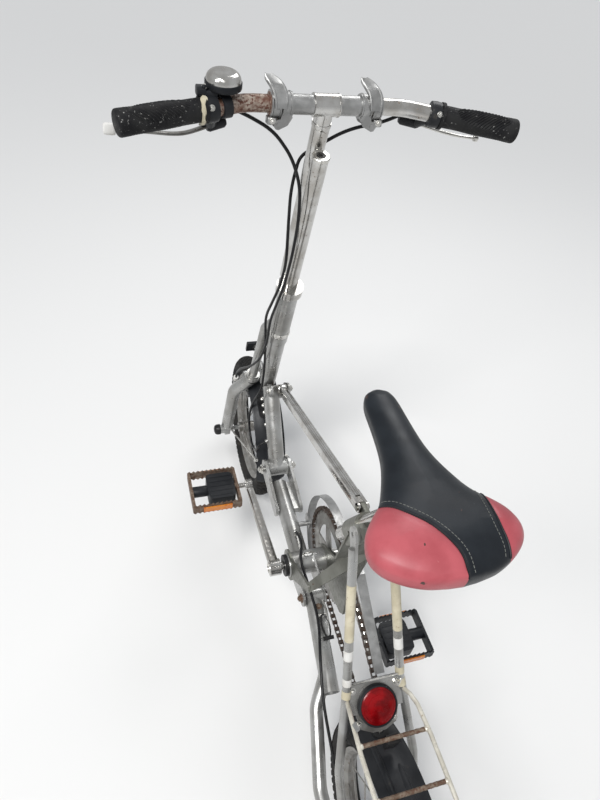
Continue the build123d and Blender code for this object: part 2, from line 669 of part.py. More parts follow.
# Stem: quill, riser and bar sleeve
quill = STEER * Solid.make_cylinder(QUILL_R, RING_S + RING_H / 2 - QUILL_TOP_S,
                                    Plane(origin=(0, 0, -RING_S - RING_H / 2)))
riser = STEER * Solid.make_cylinder(RISER_R, RING_S - RING_H / 2 - GAP - BAR_S,
                                    Plane(origin=(0, RISER_Y, -RING_S + RING_H / 2 + GAP)))
bar_c = st(0, RISER_Y, BAR_S)
bar_yz = (bar_c[1], bar_c[2])
tee = barrel(-TEE_HALF, TEE_HALF, bar_yz, TEE_R)
stem = quill + riser + tee - barrel(-TEE_HALF - 1, TEE_HALF + 1, bar_yz, CENTRE_BAR_R + RUN)
keep("stem", stem)

# Handlebar: middle tube with two hinged clamps, and two folding halves
centre = barrel(-FIXED_END_X + 4, FIXED_END_X - 4, bar_yz, CENTRE_BAR_R)
drop_yz = (bar_yz[0], bar_yz[1] - HINGE_DROP)
for side in (-1, 1):
    xa = side * 48
    xb = side * (FIXED_END_X - 0.5)
    centre += barrel(min(xa, xb), max(xa, xb), bar_yz, KNUCKLE_R + 1)
    for end in (-1, 1):
        y0 = bar_yz[0] + end * 8.3
        y1 = bar_yz[0] + end * 13.3
        ear = [(side * 50, bar_yz[1] - 8), (side * (FIXED_END_X - 0.5), bar_yz[1] - 6),
               (side * (FIXED_END_X + 1), drop_yz[1] + 6.9), (side * (HINGE_X + 5), drop_yz[1] + 5),
               (side * (HINGE_X + 7), drop_yz[1]), (side * (HINGE_X + 4), drop_yz[1] - 6),
               (side * HINGE_X, drop_yz[1] - 7), (side * 54, drop_yz[1] - 1), (side * 48, bar_yz[1] - 13)]
        plane = Plane(origin=(0, min(y0, y1), 0), x_dir=(1, 0, 0), z_dir=(0, -1, 0))
        face = make_face(Polyline(*ear, close=True))
        centre += extrude(plane * face, amount=-5)
    centre += rod((side * HINGE_X, bar_yz[0] - 14, drop_yz[1]), (side * HINGE_X, bar_yz[0] + 14, drop_yz[1]), 3)
keep("bar_centre", centre)


def make_bar(side):
    x0 = side * (FIXED_END_X + 0.5)
    start = bar_point(x0)
    mid_p = bar_point(side * BAR_BEND_X)
    end_p = bar_point(side * (BAR_END_X - 3))
    tube = swept([start, mid_p, end_p], BAR_R, 90)
    x1 = side * (FIXED_END_X + 15)
    tube += barrel(min(x0, x1), max(x0, x1), bar_yz, KNUCKLE_R)
    y = bar_yz[0]
    tongue = [(side * (HINGE_X - 3.4), drop_yz[1] + 6.4), (side * (FIXED_END_X + 0.5), bar_yz[1] - 8),
              (side * (FIXED_END_X + 14), bar_yz[1] - 8), (side * (HINGE_X + 7), drop_yz[1] + 2),
              (side * (HINGE_X + 6), drop_yz[1] - 4), (side * HINGE_X, drop_yz[1] - 7),
              (side * (HINGE_X - 5), drop_yz[1] - 5), (side * (HINGE_X - 7), drop_yz[1])]
    plane = Plane(origin=(0, y + 7.5, 0), x_dir=(1, 0, 0), z_dir=(0, -1, 0))
    tube += extrude(plane * make_face(Polyline(*tongue, close=True)), amount=15)
    return tube - rod((side * HINGE_X, y - 20, drop_yz[1]), (side * HINGE_X, y + 20, drop_yz[1]), 3 + RUN)


keep("bar_left", make_bar(-1))
keep("bar_right", make_bar(1))


def make_grip(side):
    a = Vector(*bar_point(side * GRIP_X))
    b = Vector(*bar_point(side * BAR_END_X))
    u = (b - a).normalized()
    solid = rod(a, b + u * 4, GRIP_R) + rod(a - u * 4, a + u * 1, GRIP_R + 3)
    return solid - rod(a - u * 8, b, BAR_R + SLIP)


keep("grip_left", make_grip(-1))
keep("grip_right", make_grip(1))


def make_lever(side):
    a = Vector(*bar_point(side * LEVER_X))
    b = Vector(*bar_point(side * BAR_END_X))
    u = (b - a).normalized()
    clamp = rod(a - u * 7, a + u * 7, BAR_R + 4.5)
    f = Vector(0, 1, -0.35).normalized()
    perch = rod(a + f * 12, a + f * 30, 8)
    body = clamp + perch
    p0 = a + f * 28 - u * 10
    p1 = a + f * 34 + u * 14
    p2 = b + f * 42 - u * 8
    body += rod(p0, p1, 6.5)
    body += swept([p1 - u * 2, a + f * 46 + u * 50, p2], 4.5, 60)
    body += Pos(p2.X, p2.Y, p2.Z) * Solid.make_sphere(7)
    return body - rod(a - u * 30, a + u * 60, BAR_R + SLIP)


keep("brake_lever_left", make_lever(-1))
keep("brake_lever_right", make_lever(1))
bell_on = Vector(*bar_point(-BELL_X))
bell_u = (Vector(*bar_point(-BELL_X - 10)) - bell_on).normalized()
bell_at = bell_on + Vector(0, 5, 21)
bell = rod(bell_on - bell_u * 5, bell_on + bell_u * 3, BAR_R + 3.5)
bell += rod(bell_at - Vector(0, 3, 12), bell_at + Vector(0, 0, 6), 8, 20)
bell += Pos(bell_at.X, bell_at.Y, bell_at.Z + 6) * Solid.make_cone(22.5, 18, 9, Plane.XY)
bell += Pos(bell_at.X, bell_at.Y, bell_at.Z + 15) * Solid.make_cone(18, 8, 6, Plane.XY)
bell -= rod(bell_on - bell_u * 30, bell_on + bell_u * 30, BAR_R + SLIP)
keep("bell", bell)

# Front fender, brake and reflector back
fender = arc_band(-FRONT_FENDER_HALF, FRONT_FENDER_HALF, FRONT_AXLE, FENDER_R + FENDER_T, FENDER_R, 75, 178)
tab = [st(0, 36, 658.5), st(0, 43, 658.5), st(0, 43, 674), st(0, 36, 674)]
fender += plate(-8, 8, [(p[1], p[2]) for p in tab]) - barrel(-40, 40, FRONT_AXLE, FENDER_R + 0.5)
stay_a = math.radians(158)
for side, x_eye in ((-1, -54), (1, 41)):
    low = (side * (FRONT_FENDER_HALF + 1), FRONT_AXLE[0] + (FENDER_R + 1) * math.cos(stay_a),
           FRONT_AXLE[1] + (FENDER_R + 1) * math.sin(stay_a))
    knee = (x_eye, FRONT_AXLE[0] + 30 * math.cos(stay_a), FRONT_AXLE[1] + 30 * math.sin(stay_a))
    fender += rod(low, knee, 2)
    fender += rod((side * (FRONT_FENDER_HALF - 2), low[1], low[2]), (side * (FRONT_FENDER_HALF + 3), low[1], low[2]), 4)
    fender += rod(knee, (x_eye, FRONT_AXLE[0] + 6 * math.cos(stay_a), FRONT_AXLE[1] + 6 * math.sin(stay_a)), 2.4)
    fender += Pos(*knee) * Solid.make_sphere(2.4)
    fender += barrel(x_eye - 1.5, x_eye + 1.5, FRONT_AXLE, 9)
fender -= barrel(-70, 60, FRONT_AXLE, AXLE_R + RUN)
keep("front_fender", fender)

# Front brake on its bracket, and the lamp-sized reflector
brake_pin0 = Vector(*st(0, 49.1, 652))
brake_pin1 = Vector(*st(0, 68, 652))
brake = rod(brake_pin0, brake_pin1, 7)
for side, y_arm in ((-1, 53), (1, 62)):
    joints = [st(0, y_arm, 652), st(side * 36, y_arm, 664), st(side * 38, y_arm, 716), st(side * 20, y_arm, 744)]
    for p0, p1 in zip(joints, joints[1:]):
        brake += rod(p0, p1, 3.8)
    for p0 in joints[1:]:
        brake += Pos(*p0) * Solid.make_sphere(3.8)
    brake += rod(st(side * 19.5, 39, 744), st(side * 19.5, 66, 744), 4.5)
brake += rod(st(-38, 53, 690), st(-56, 53, 694), 3.2)
brake += rod(st(-54, 53, 702), st(-54, 53, 686), 5)
keep("front_brake", brake)
refl = STEER * Pos(-12, 83, -608) * Box(40, 6, 26)
refl += rod(st(-12, 72, 612), st(-12, 81, 612), 4)
keep("front_reflector", refl)

# Brake cables: front one to the brake, rear one into the open end of the main tube
lever_l = bar_point(-LEVER_X)
front_run = [(-147.3, 42, 989.2), (-132, 42.4, 991.8), (-106, 36, 984), (-66, 36, 964), (-34, 40, 925), st(-22, -4, 115), st(-20, -20, 160),
             st(-19, -25, 222), st(-22, -28, 296), st(-27, -25, 345), st(-30, -17, 400), st(-27, -19, 455),
             st(-31, -14, 520), st(-42, 6, 575), st(-52, 38, 625), st(-54, 52, 660), st(-54, 53, 685.7)]
keep("front_brake_cable", cable(front_run, CABLE_R, 12))
rear_run = [(147.3, 42, 989.2), (132, 42.4, 991.8), (96, 44, 975), (48, 52, 962), (6, 64, 931), st(-14, 45, 100), st(-25, 25, 140),
            st(-26, 2, 190), st(-25, -22, 250), st(-28, -24, 300), st(-33, -17, 350), st(-36, -6, 400),
            st(-29, -8, 455), st(-22, -12, 520), st(-20, -19, 560), (-24, 112, 417), (-30, 116, 394),
            (-34, 143, 343), (-35.5, 152, 291), (-35, 137, 262), (-35, 108, 249), (-35.5, 80, 262),
            (-36, 62, 286), (-33, 57.9, 301.8), (-20.4, 60.4, 306.35)]
keep("rear_brake_cable", cable(rear_run, CABLE_R, 12))

for name, shape in PARTS.items():
    moved = Pos(-ORIGIN[0], -ORIGIN[1], -ORIGIN[2]) * shape
    export_step(moved, f"parts/{name}.step")
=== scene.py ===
import json
import math

import bmesh
import bpy
from mathutils import Matrix, Vector


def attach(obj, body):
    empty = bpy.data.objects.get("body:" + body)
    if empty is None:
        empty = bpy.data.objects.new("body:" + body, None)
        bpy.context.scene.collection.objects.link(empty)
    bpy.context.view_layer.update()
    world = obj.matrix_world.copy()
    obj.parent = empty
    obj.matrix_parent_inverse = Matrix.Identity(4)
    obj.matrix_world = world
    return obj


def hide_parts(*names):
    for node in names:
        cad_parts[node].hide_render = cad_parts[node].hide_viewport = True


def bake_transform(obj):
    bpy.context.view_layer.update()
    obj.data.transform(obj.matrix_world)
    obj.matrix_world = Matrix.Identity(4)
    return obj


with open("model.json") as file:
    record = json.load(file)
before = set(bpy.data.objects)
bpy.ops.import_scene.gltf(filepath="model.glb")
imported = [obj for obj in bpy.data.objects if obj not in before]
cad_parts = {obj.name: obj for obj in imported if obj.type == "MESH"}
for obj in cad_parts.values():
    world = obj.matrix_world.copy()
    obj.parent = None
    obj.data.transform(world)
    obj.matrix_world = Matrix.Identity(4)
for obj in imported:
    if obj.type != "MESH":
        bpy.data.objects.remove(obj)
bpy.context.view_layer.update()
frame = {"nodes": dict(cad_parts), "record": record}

# Ground frame in mm (X right, Y forward, Z up) to the model's metres
MM = 0.001
ORIGIN = Vector((0, -480, 780))

# Camera of the photograph
CAM_AT = (-0.2947, -0.3011, 0.4771)
CAM_RIGHT = (0.9559, -0.2702, 0.1152)
CAM_DOWN = (-0.1046, -0.6794, -0.7262)
CAM_AHEAD = (0.2745, 0.6821, -0.6777)
CAM_LENS = 36.17

camera_data = bpy.data.cameras.new("camera")
camera_data.lens = CAM_LENS
camera_data.sensor_width = 36
camera_data.sensor_fit = "HORIZONTAL"
camera_data.clip_start = 0.02
camera = bpy.data.objects.new("camera", camera_data)
bpy.context.collection.objects.link(camera)
turn = Matrix((CAM_RIGHT, [-a for a in CAM_DOWN], [-a for a in CAM_AHEAD])).transposed()
camera.matrix_world = Matrix.Translation(CAM_AT) @ turn.to_4x4()
bpy.context.scene.camera = camera
bpy.context.scene.view_settings.view_transform = "Standard"

# Sizes shared with the solids
RAKE = math.radians(14.4)
BAR_Z = 1001.5
RISER_Y = 25
BAR_S = 6.3
BAR_BEND_X = 110
BAR_BENT_RUN = 165
BAR_BACK = 45
BAR_FALL = 14
FRONT_AXLE = (238, 174)
REAR_AXLE = (-647, 174)
# Pivots of the folding frame as (y, z)
H1 = (22, 264)
BB = (-218, 271)
H2 = (-290, 275)
TIE_FRONT = (108, 412)
TIE_REAR = (-309, 554)
TIE_X = 19
CHAIN_X = 42
RING_PITCH_R = 93
COG_PITCH_R = 30.5
CRANK_L = 165
CRANK_A = math.radians(20)
PEDAL_L = (BB[0] + CRANK_L * math.cos(CRANK_A), BB[1] + CRANK_L * math.sin(CRANK_A))
PEDAL_R = (BB[0] - CRANK_L * math.cos(CRANK_A), BB[1] - CRANK_L * math.sin(CRANK_A))


def st(x, y, s):
    """Ground point from the steering frame: s runs down the axis from bar height."""
    c = math.cos(RAKE)
    k = math.sin(RAKE)
    return Vector((x, y * c + s * k, BAR_Z + y * k - s * c))


def bar_point(x, y=0, z=0):
    """Ground point on the handlebar's line at this x."""
    far = max(0.0, abs(x) - BAR_BEND_X) / BAR_BENT_RUN
    base = st(0, RISER_Y, BAR_S)
    return Vector((x, base.y - BAR_BACK * far + y, base.z - BAR_FALL * far + z))


# Materials
def node(tree, kind, **inputs):
    n = tree.nodes.new(kind)
    for key, value in inputs.items():
        n.inputs[key].default_value = value
    return n


def noise(tree, coord, scale, detail=4, rough=0.55, stretch=None):
    source = coord
    if stretch:
        mapping = tree.nodes.new("ShaderNodeMapping")
        mapping.inputs["Scale"].default_value = stretch
        tree.links.new(coord, mapping.inputs["Vector"])
        source = mapping.outputs["Vector"]
    n = node(tree, "ShaderNodeTexNoise", Scale=scale, Detail=detail, Roughness=rough)
    tree.links.new(source, n.inputs["Vector"])
    return n.outputs["Fac"]


def ramp(tree, value, low, high, out_low=0.0, out_high=1.0):
    span = {"From Min": low, "From Max": high, "To Min": out_low, "To Max": out_high}
    n = node(tree, "ShaderNodeMapRange", **span)
    n.interpolation_type = "SMOOTHSTEP"
    tree.links.new(value, n.inputs["Value"])
    return n.outputs["Result"]


def mixed(tree, factor, a, b):
    n = tree.nodes.new("ShaderNodeMix")
    n.data_type = "RGBA"
    tree.links.new(factor, n.inputs[0])
    for socket, colour in ((n.inputs[6], a), (n.inputs[7], b)):
        if isinstance(colour, tuple):
            socket.default_value = (*colour, 1)
        else:
            tree.links.new(colour, socket)
    return n.outputs[2]


def new_material(name):
    m = bpy.data.materials.new(name)
    m.use_nodes = True
    return m, m.node_tree.nodes["Principled BSDF"]


def add_bump(tree, shader, height, strength, distance):
    b = node(tree, "ShaderNodeBump", Strength=strength, Distance=distance)
    tree.links.new(height, b.inputs["Height"])
    tree.links.new(b.outputs["Normal"], shader.inputs["Normal"])


SPOT_ROUGH = 0.8


def material(name, base, other, spots, rough, metal, scale, spot_at, spot_scale, bump, bump_scale,
             coat=0.0, stretch=None, spot_metal=None, level=0.5):
    """Two tones of one finish, spots of dirt or rust over it, and a bump from fine grain and the spots."""
    m, shader = new_material(name)
    tree = m.node_tree
    coord = tree.nodes.new("ShaderNodeTexCoord").outputs["Object"]
    tone = noise(tree, coord, scale, stretch=stretch)
    colour = mixed(tree, ramp(tree, tone, 0.35, 0.65), base, other)
    mask = ramp(tree, noise(tree, coord, spot_scale, 7, 0.65), spot_at[0], spot_at[1])
    colour = mixed(tree, mask, colour, spots)
    tree.links.new(colour, shader.inputs["Base Color"])
    grain = noise(tree, coord, bump_scale, 3, 0.6, stretch=stretch)
    base_rough = ramp(tree, noise(tree, coord, scale * 2.3, 5, 0.6), 0.3, 0.7, rough[0], rough[1])
    r = tree.nodes.new("ShaderNodeMix")
    tree.links.new(mask, r.inputs[0])
    tree.links.new(base_rough, r.inputs[2])
    r.inputs[3].default_value = SPOT_ROUGH
    tree.links.new(r.outputs[0], shader.inputs["Roughness"])
    if spot_metal is None:
        shader.inputs["Metallic"].default_value = metal
    else:
        fade = ramp(tree, mask, 0, 1, metal, spot_metal)
        tree.links.new(fade, shader.inputs["Metallic"])
    shader.inputs["Coat Weight"].default_value = coat
    shader.inputs["Specular IOR Level"].default_value = level
    total = tree.nodes.new("ShaderNodeMath")
    total.operation = "ADD"
    tree.links.new(grain, total.inputs[0])
    tree.links.new(mask, total.inputs[1])
    add_bump(tree, shader, total.outputs[0], bump, 0.0006)
    return m


RUST = (0.12, 0.045, 0.018)
GRIME = (0.09, 0.075, 0.06)
# Name, two tones, spots, range of roughness, metal, scale of the tones, where spots start and are full,
# their scale, bump, its scale, coat, and what else differs
FINISHES = (
    ("silver_paint", (0.40, 0.40, 0.39), (0.28, 0.275, 0.26), (0.12, 0.09, 0.06),
     (0.24, 0.38), 0.75, 22, (0.66, 0.72), 140, 0.08, 900, 0.15, {"spot_metal": 0.0}),
    ("chrome", (0.56, 0.555, 0.54), (0.40, 0.385, 0.36), (0.12, 0.075, 0.045),
     (0.1, 0.24), 1.0, 35, (0.62, 0.68), 230, 0.12, 700, {"spot_metal": 0.0}),
    ("rusty_chrome", (0.36, 0.30, 0.25), (0.15, 0.080, 0.055), (0.085, 0.030, 0.018),
     (0.28, 0.5), 0.6, 90, (0.50, 0.57), 230, 0.25, 700, {"spot_metal": 0.0}),
    ("bare_steel", (0.30, 0.295, 0.28), (0.20, 0.19, 0.175), RUST,
     (0.3, 0.5), 0.85, 45, (0.62, 0.68), 150, 0.15, 900, {"spot_metal": 0.0}),
    ("grey_alloy", (0.36, 0.36, 0.355), (0.27, 0.27, 0.265), GRIME,
     (0.28, 0.45), 0.85, 50, (0.64, 0.74), 140, 0.1, 900, {"spot_metal": 0.1}),
    ("black_metal", (0.010, 0.010, 0.011), (0.022, 0.021, 0.020), (0.07, 0.055, 0.04),
     (0.3, 0.5), 0.1, 40, (0.66, 0.74), 130, 0.1, 800, 0.05, {"level": 0.2}),
    ("tyre_rubber", (0.014, 0.014, 0.014), (0.030, 0.028, 0.026), (0.085, 0.075, 0.06),
     (0.7, 0.9), 0.0, 18, (0.58, 0.72), 60, 0.25, 900, {"level": 0.12}),
    ("grip_rubber", (0.009, 0.009, 0.010), (0.018, 0.018, 0.018), (0.30, 0.295, 0.28),
     (0.5, 0.7), 0.0, 40, (0.635, 0.66), 260, 0.2, 900, {"level": 0.15}),
    ("black_plastic", (0.009, 0.010, 0.012), (0.020, 0.021, 0.023), (0.07, 0.062, 0.052),
     (0.32, 0.5), 0.0, 20, (0.64, 0.78), 45, 0.1, 900, {"level": 0.2}),
    ("housing", (0.007, 0.007, 0.008), (0.014, 0.014, 0.014), (0.06, 0.05, 0.04),
     (0.25, 0.4), 0.0, 60, (0.66, 0.76), 150, 0.08, 900, {"level": 0.2}),
    ("red_lens", (0.24, 0.002, 0.004), (0.11, 0.001, 0.002), (0.06, 0.004, 0.004),
     (0.16, 0.3), 0.0, 45, (0.66, 0.76), 150, 0.1, 600, 0.0, {"level": 0.25}),
    ("saddle_vinyl", (0.012, 0.012, 0.014), (0.022, 0.022, 0.024), (0.07, 0.066, 0.062),
     (0.38, 0.55), 0.0, 25, (0.62, 0.76), 70, 0.35, 1500, {"level": 0.35}),
    ("chain_steel", (0.085, 0.070, 0.060), (0.045, 0.034, 0.027), (0.07, 0.032, 0.016),
     (0.35, 0.6), 0.6, 90, (0.50, 0.62), 260, 0.3, 900, {"spot_metal": 0.0}),
    ("bright_steel", (0.66, 0.65, 0.62), (0.48, 0.47, 0.44), (0.16, 0.11, 0.07),
     (0.18, 0.32), 0.95, 60, (0.64, 0.72), 190, 0.1, 900, {"spot_metal": 0.0}),
    ("amber", (0.62, 0.20, 0.012), (0.50, 0.13, 0.010), (0.2, 0.09, 0.03),
     (0.15, 0.3), 0.0, 60, (0.64, 0.76), 150, 0.2, 900, 0.4),
    ("cream_label", (0.56, 0.51, 0.38), (0.46, 0.41, 0.29), (0.26, 0.20, 0.13),
     (0.4, 0.6), 0.0, 60, (0.60, 0.72), 190, 0.06, 900),
    ("cream_wire", (0.62, 0.59, 0.51), (0.46, 0.43, 0.36), (0.22, 0.15, 0.09),
     (0.25, 0.4), 0.25, 40, (0.62, 0.70), 150, 0.1, 900, {"spot_metal": 0.0}),
    ("white_plastic", (0.66, 0.65, 0.62), (0.56, 0.54, 0.50), (0.30, 0.25, 0.19),
     (0.35, 0.5), 0.0, 60, (0.64, 0.74), 150, 0.05, 900),
    ("raw_plate", (0.22, 0.22, 0.195), (0.14, 0.14, 0.12), (0.09, 0.06, 0.035),
     (0.3, 0.48), 0.8, 60, (0.62, 0.70), 130, 0.15, 700, {"stretch": (1, 0.2, 0.2), "spot_metal": 0.0}),
    ("rusty_steel", (0.20, 0.155, 0.115), (0.11, 0.072, 0.048), (0.085, 0.035, 0.018),
     (0.5, 0.75), 0.35, 90, (0.48, 0.6), 260, 0.35, 900, {"spot_metal": 0.0}),
    ("grey_thread", (0.15, 0.155, 0.14), (0.11, 0.112, 0.10), (0.08, 0.08, 0.075),
     (0.6, 0.8), 0.0, 120, (0.6, 0.72), 260, 0.1, 900),
)

MATS = {}
for row in FINISHES:
    extras = row[-1] if isinstance(row[-1], dict) else {}
    MATS[row[0]] = material(*row[:len(row) - bool(extras)], **extras)


def give(node_name, key):
    """Another finish for one node of the solids."""
    data = frame["nodes"][node_name].data
    data.materials.clear()
    data.materials.append(MATS[key])


for part in frame["record"]["subparts"]:
    give(part["node"], part["material_slot"])
give("bar_left", "rusty_chrome")
give("rear_rack", "cream_wire")
give("tie_rod", "chrome")
give("seat_bracket", "raw_plate")
give("front_rim", "bare_steel")
give("rear_rim", "bare_steel")


# Mesh building
SHARP_DEG = 38


class Piece:
    """Collects faces in ground millimetres, then becomes one object on a body."""

    def __init__(self, name, mats):
        self.name = name
        self.mats = mats
        self.verts = []
        self.faces = []
        self.index = []

    def add(self, verts, faces, mat=0):
        start = len(self.verts)
        self.verts += [Vector(v) for v in verts]
        for face in faces:
            self.faces.append([start + i for i in face])
            self.index.append(mat)

    def rings(self, rows, mat=0, closed=True, caps=True):
        """Skin through rows of points, each row with the same count."""
        n = len(rows[0])
        verts = [p for row in rows for p in row]
        faces = []
        last = n if closed else n - 1
        for i in range(len(rows) - 1):
            for j in range(last):
                k = (j + 1) % n
                faces.append((i * n + j, i * n + k, (i + 1) * n + k, (i + 1) * n + j))
        if caps:
            faces.append(tuple(range(n))[::-1])
            faces.append(tuple(range((len(rows) - 1) * n, len(rows) * n)))
        self.add(verts, faces, mat)

    def lathe(self, at, along, profile, steps=32, mat=0, caps=True):
        """Turned shape: profile is (distance along, radius)."""
        at = Vector(at)
        w = Vector(along).normalized()
        u = w.orthogonal().normalized()
        v = w.cross(u)
        self.rings([[at + w * h + u * (r * math.cos(a)) + v * (r * math.sin(a)) for a in round_angles(steps)]
                    for h, r in profile], mat, True, caps)

    def tube(self, points, radius, steps=12, mat=0, caps=True, closed=False):
        """Round tube along points, with one radius or one for each point."""
        pts = [Vector(p) for p in points]
        count = len(pts)
        radii = radius if isinstance(radius, (list, tuple)) else [radius] * count
        u = None
        rows = []
        for i in range(count):
            before = pts[i - 1] if i or closed else pts[0]
            after = pts[(i + 1) % count] if i < count - 1 or closed else pts[-1]
            w = (after - before).normalized()
            u = w.orthogonal().normalized() if u is None else (u - w * u.dot(w)).normalized()
            v = w.cross(u)
            rows.append([pts[i] + (u * math.cos(a) + v * math.sin(a)) * radii[i] for a in round_angles(steps)])
        if closed:
            rows.append(rows[0])
        self.rings(rows, mat, True, caps and not closed)

    def slab(self, outline, push, mat=0):
        """Flat plate: a closed outline of points, pushed along a vector."""
        pts = [Vector(p) for p in outline]
        push = Vector(push)
        self.rings([pts, [p + push for p in pts]], mat)

    def bolt(self, at, along, size=5.0, mat=0, washer=True):
        """Hexagon head with a chamfered crown over a washer."""
        w = Vector(along).normalized()
        at = Vector(at)
        base = 0.0
        if washer:
            self.lathe(at, w, [(0, size * 1.5), (size * 0.22, size * 1.5), (size * 0.3, size * 1.4)], 24, mat)
            base = size * 0.3
        self.lathe(at + w * base, w, [(0, size), (size * 0.62, size), (size * 0.8, size * 0.82)], 6, mat)
        self.lathe(at + w * (base + size * 0.7), w, [(0, size * 0.5), (size * 0.3, size * 0.5),
                                                     (size * 0.38, size * 0.4)], 16, mat)

    def done(self, body, replaced=()):
        """The finished object; a piece that two bodies share comes without a body."""
        mesh = bpy.data.meshes.new(self.name)
        verts = [(p - ORIGIN) * MM for p in self.verts]
        mesh.from_pydata([tuple(p) for p in verts], [], self.faces)
        mesh.polygons.foreach_set("material_index", self.index)
        for key in self.mats:
            mesh.materials.append(MATS[key])
        mesh.validate()
        mesh.update()
        obj = bpy.data.objects.new(self.name, mesh)
        bpy.context.collection.objects.link(obj)
        mesh.shade_smooth()
        mesh.set_sharp_from_angle(angle=math.radians(SHARP_DEG))
        if body:
            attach(obj, body)
        if replaced:
            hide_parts(*replaced)
        return obj


def curve_points(points, per=6):
    """Points on a smooth curve through a few given ones."""
    pts = [Vector(p) for p in points]
    out = []
    for i in range(len(pts) - 1):
        a = pts[i - 1] if i else pts[0] * 2 - pts[1]
        b = pts[i]
        c = pts[i + 1]
        d = pts[i + 2] if i + 2 < len(pts) else pts[-1] * 2 - pts[-2]
        for j in range(per):
            t = j / per
            out.append(0.5 * (2 * b + (c - a) * t + (2 * a - 5 * b + 4 * c - d) * t * t
                              + (3 * b - a - 3 * c + d) * t * t * t))
    out.append(pts[-1])
    return out


def round_angles(count):
    return [2 * math.pi * k / count for k in range(count)]


def boxy(angle, power):
    """Point of a square with rounded corners, as two shares of its half size."""
    return [math.copysign(abs(f) ** power, f) for f in (math.cos(angle), math.sin(angle))]


def smooth_step(value):
    t = min(1.0, max(0.0, value))
    return t * t * (3 - 2 * t)


def wheel_point(axle, x, r, a):
    """Point at radius r and angle a round an axle given as (y, z)."""
    return Vector((x, axle[0] + r * math.cos(a), axle[1] + r * math.sin(a)))


# Tyres with a blocked tread
TYRE_MID_R = 150.5
TYRE_TUBE_R = 22.0
TYRE_BORE_R = 131.6
BLOCK_H = 1.6
# Rows of blocks: degrees round the tube, width, shift in blocks
TREAD_ROWS = ((0, 8, 0.0), (-20, 8, 0.5), (20, 8, 0.5), (-42, 10, 0.0), (42, 10, 0.0),
              (-62, 7, 0.5), (62, 7, 0.5))
TREAD_COUNT = 72
BLOCK_HALF = 0.36
BLOCK_LEAN = 0.10


def make_tyre(end_name, axle):
    """Round tube cut open at the rim, with rows of slanted blocks."""
    piece = Piece(end_name + "_tread", ["tyre_rubber"])
    rows = []
    rim_edge = math.acos((TYRE_BORE_R - TYRE_MID_R) / TYRE_TUBE_R)
    section = []
    for i in range(25):
        a = -rim_edge + 2 * rim_edge * i / 24
        swell = TYRE_TUBE_R + (0.5 if abs(abs(a) - 2.1) < 0.12 else 0)
        section.append((swell * math.sin(a), TYRE_MID_R + swell * math.cos(a)))
    section += [(11.5, TYRE_BORE_R + 0.2), (0, TYRE_BORE_R - 0.2), (-11.5, TYRE_BORE_R + 0.2)]
    for a in round_angles(96):
        rows.append([wheel_point(axle, x, r, a) for x, r in section])
    rows.append(rows[0])
    piece.rings(rows, 0, True, False)
    block_step = 2 * math.pi / TREAD_COUNT
    half_a = BLOCK_HALF * block_step
    for deg, width, shift in TREAD_ROWS:
        phi = math.radians(deg)
        half_phi = width / 2 / TYRE_TUBE_R
        lean = BLOCK_LEAN * block_step * ((deg > 0) - (deg < 0))
        for i in range(TREAD_COUNT):
            mid = block_step * (i + shift)
            rows = []
            for lift, shrink in ((-0.4, 1.0), (BLOCK_H * 0.8, 0.92), (BLOCK_H, 0.8)):
                row = []
                for du, dv in ((-1, -1), (1, -1), (1, 1), (-1, 1)):
                    p = phi + dv * half_phi * shrink
                    a = mid + du * half_a * shrink + dv * lean
                    r = TYRE_TUBE_R + lift
                    row.append(wheel_point(axle, r * math.sin(p), TYRE_MID_R + r * math.cos(p), a))
                rows.append(row)
            piece.rings(rows, 0, True, True)
    piece.done(end_name + "_wheel", (end_name + "_tyre",))


make_tyre("front", FRONT_AXLE)
make_tyre("rear", REAR_AXLE)

# Chain with waisted side plates and rollers
PITCH = 12.7
LINK_R = 3.9
LINK_WAIST = 2.7
LINK_THICK = 0.9


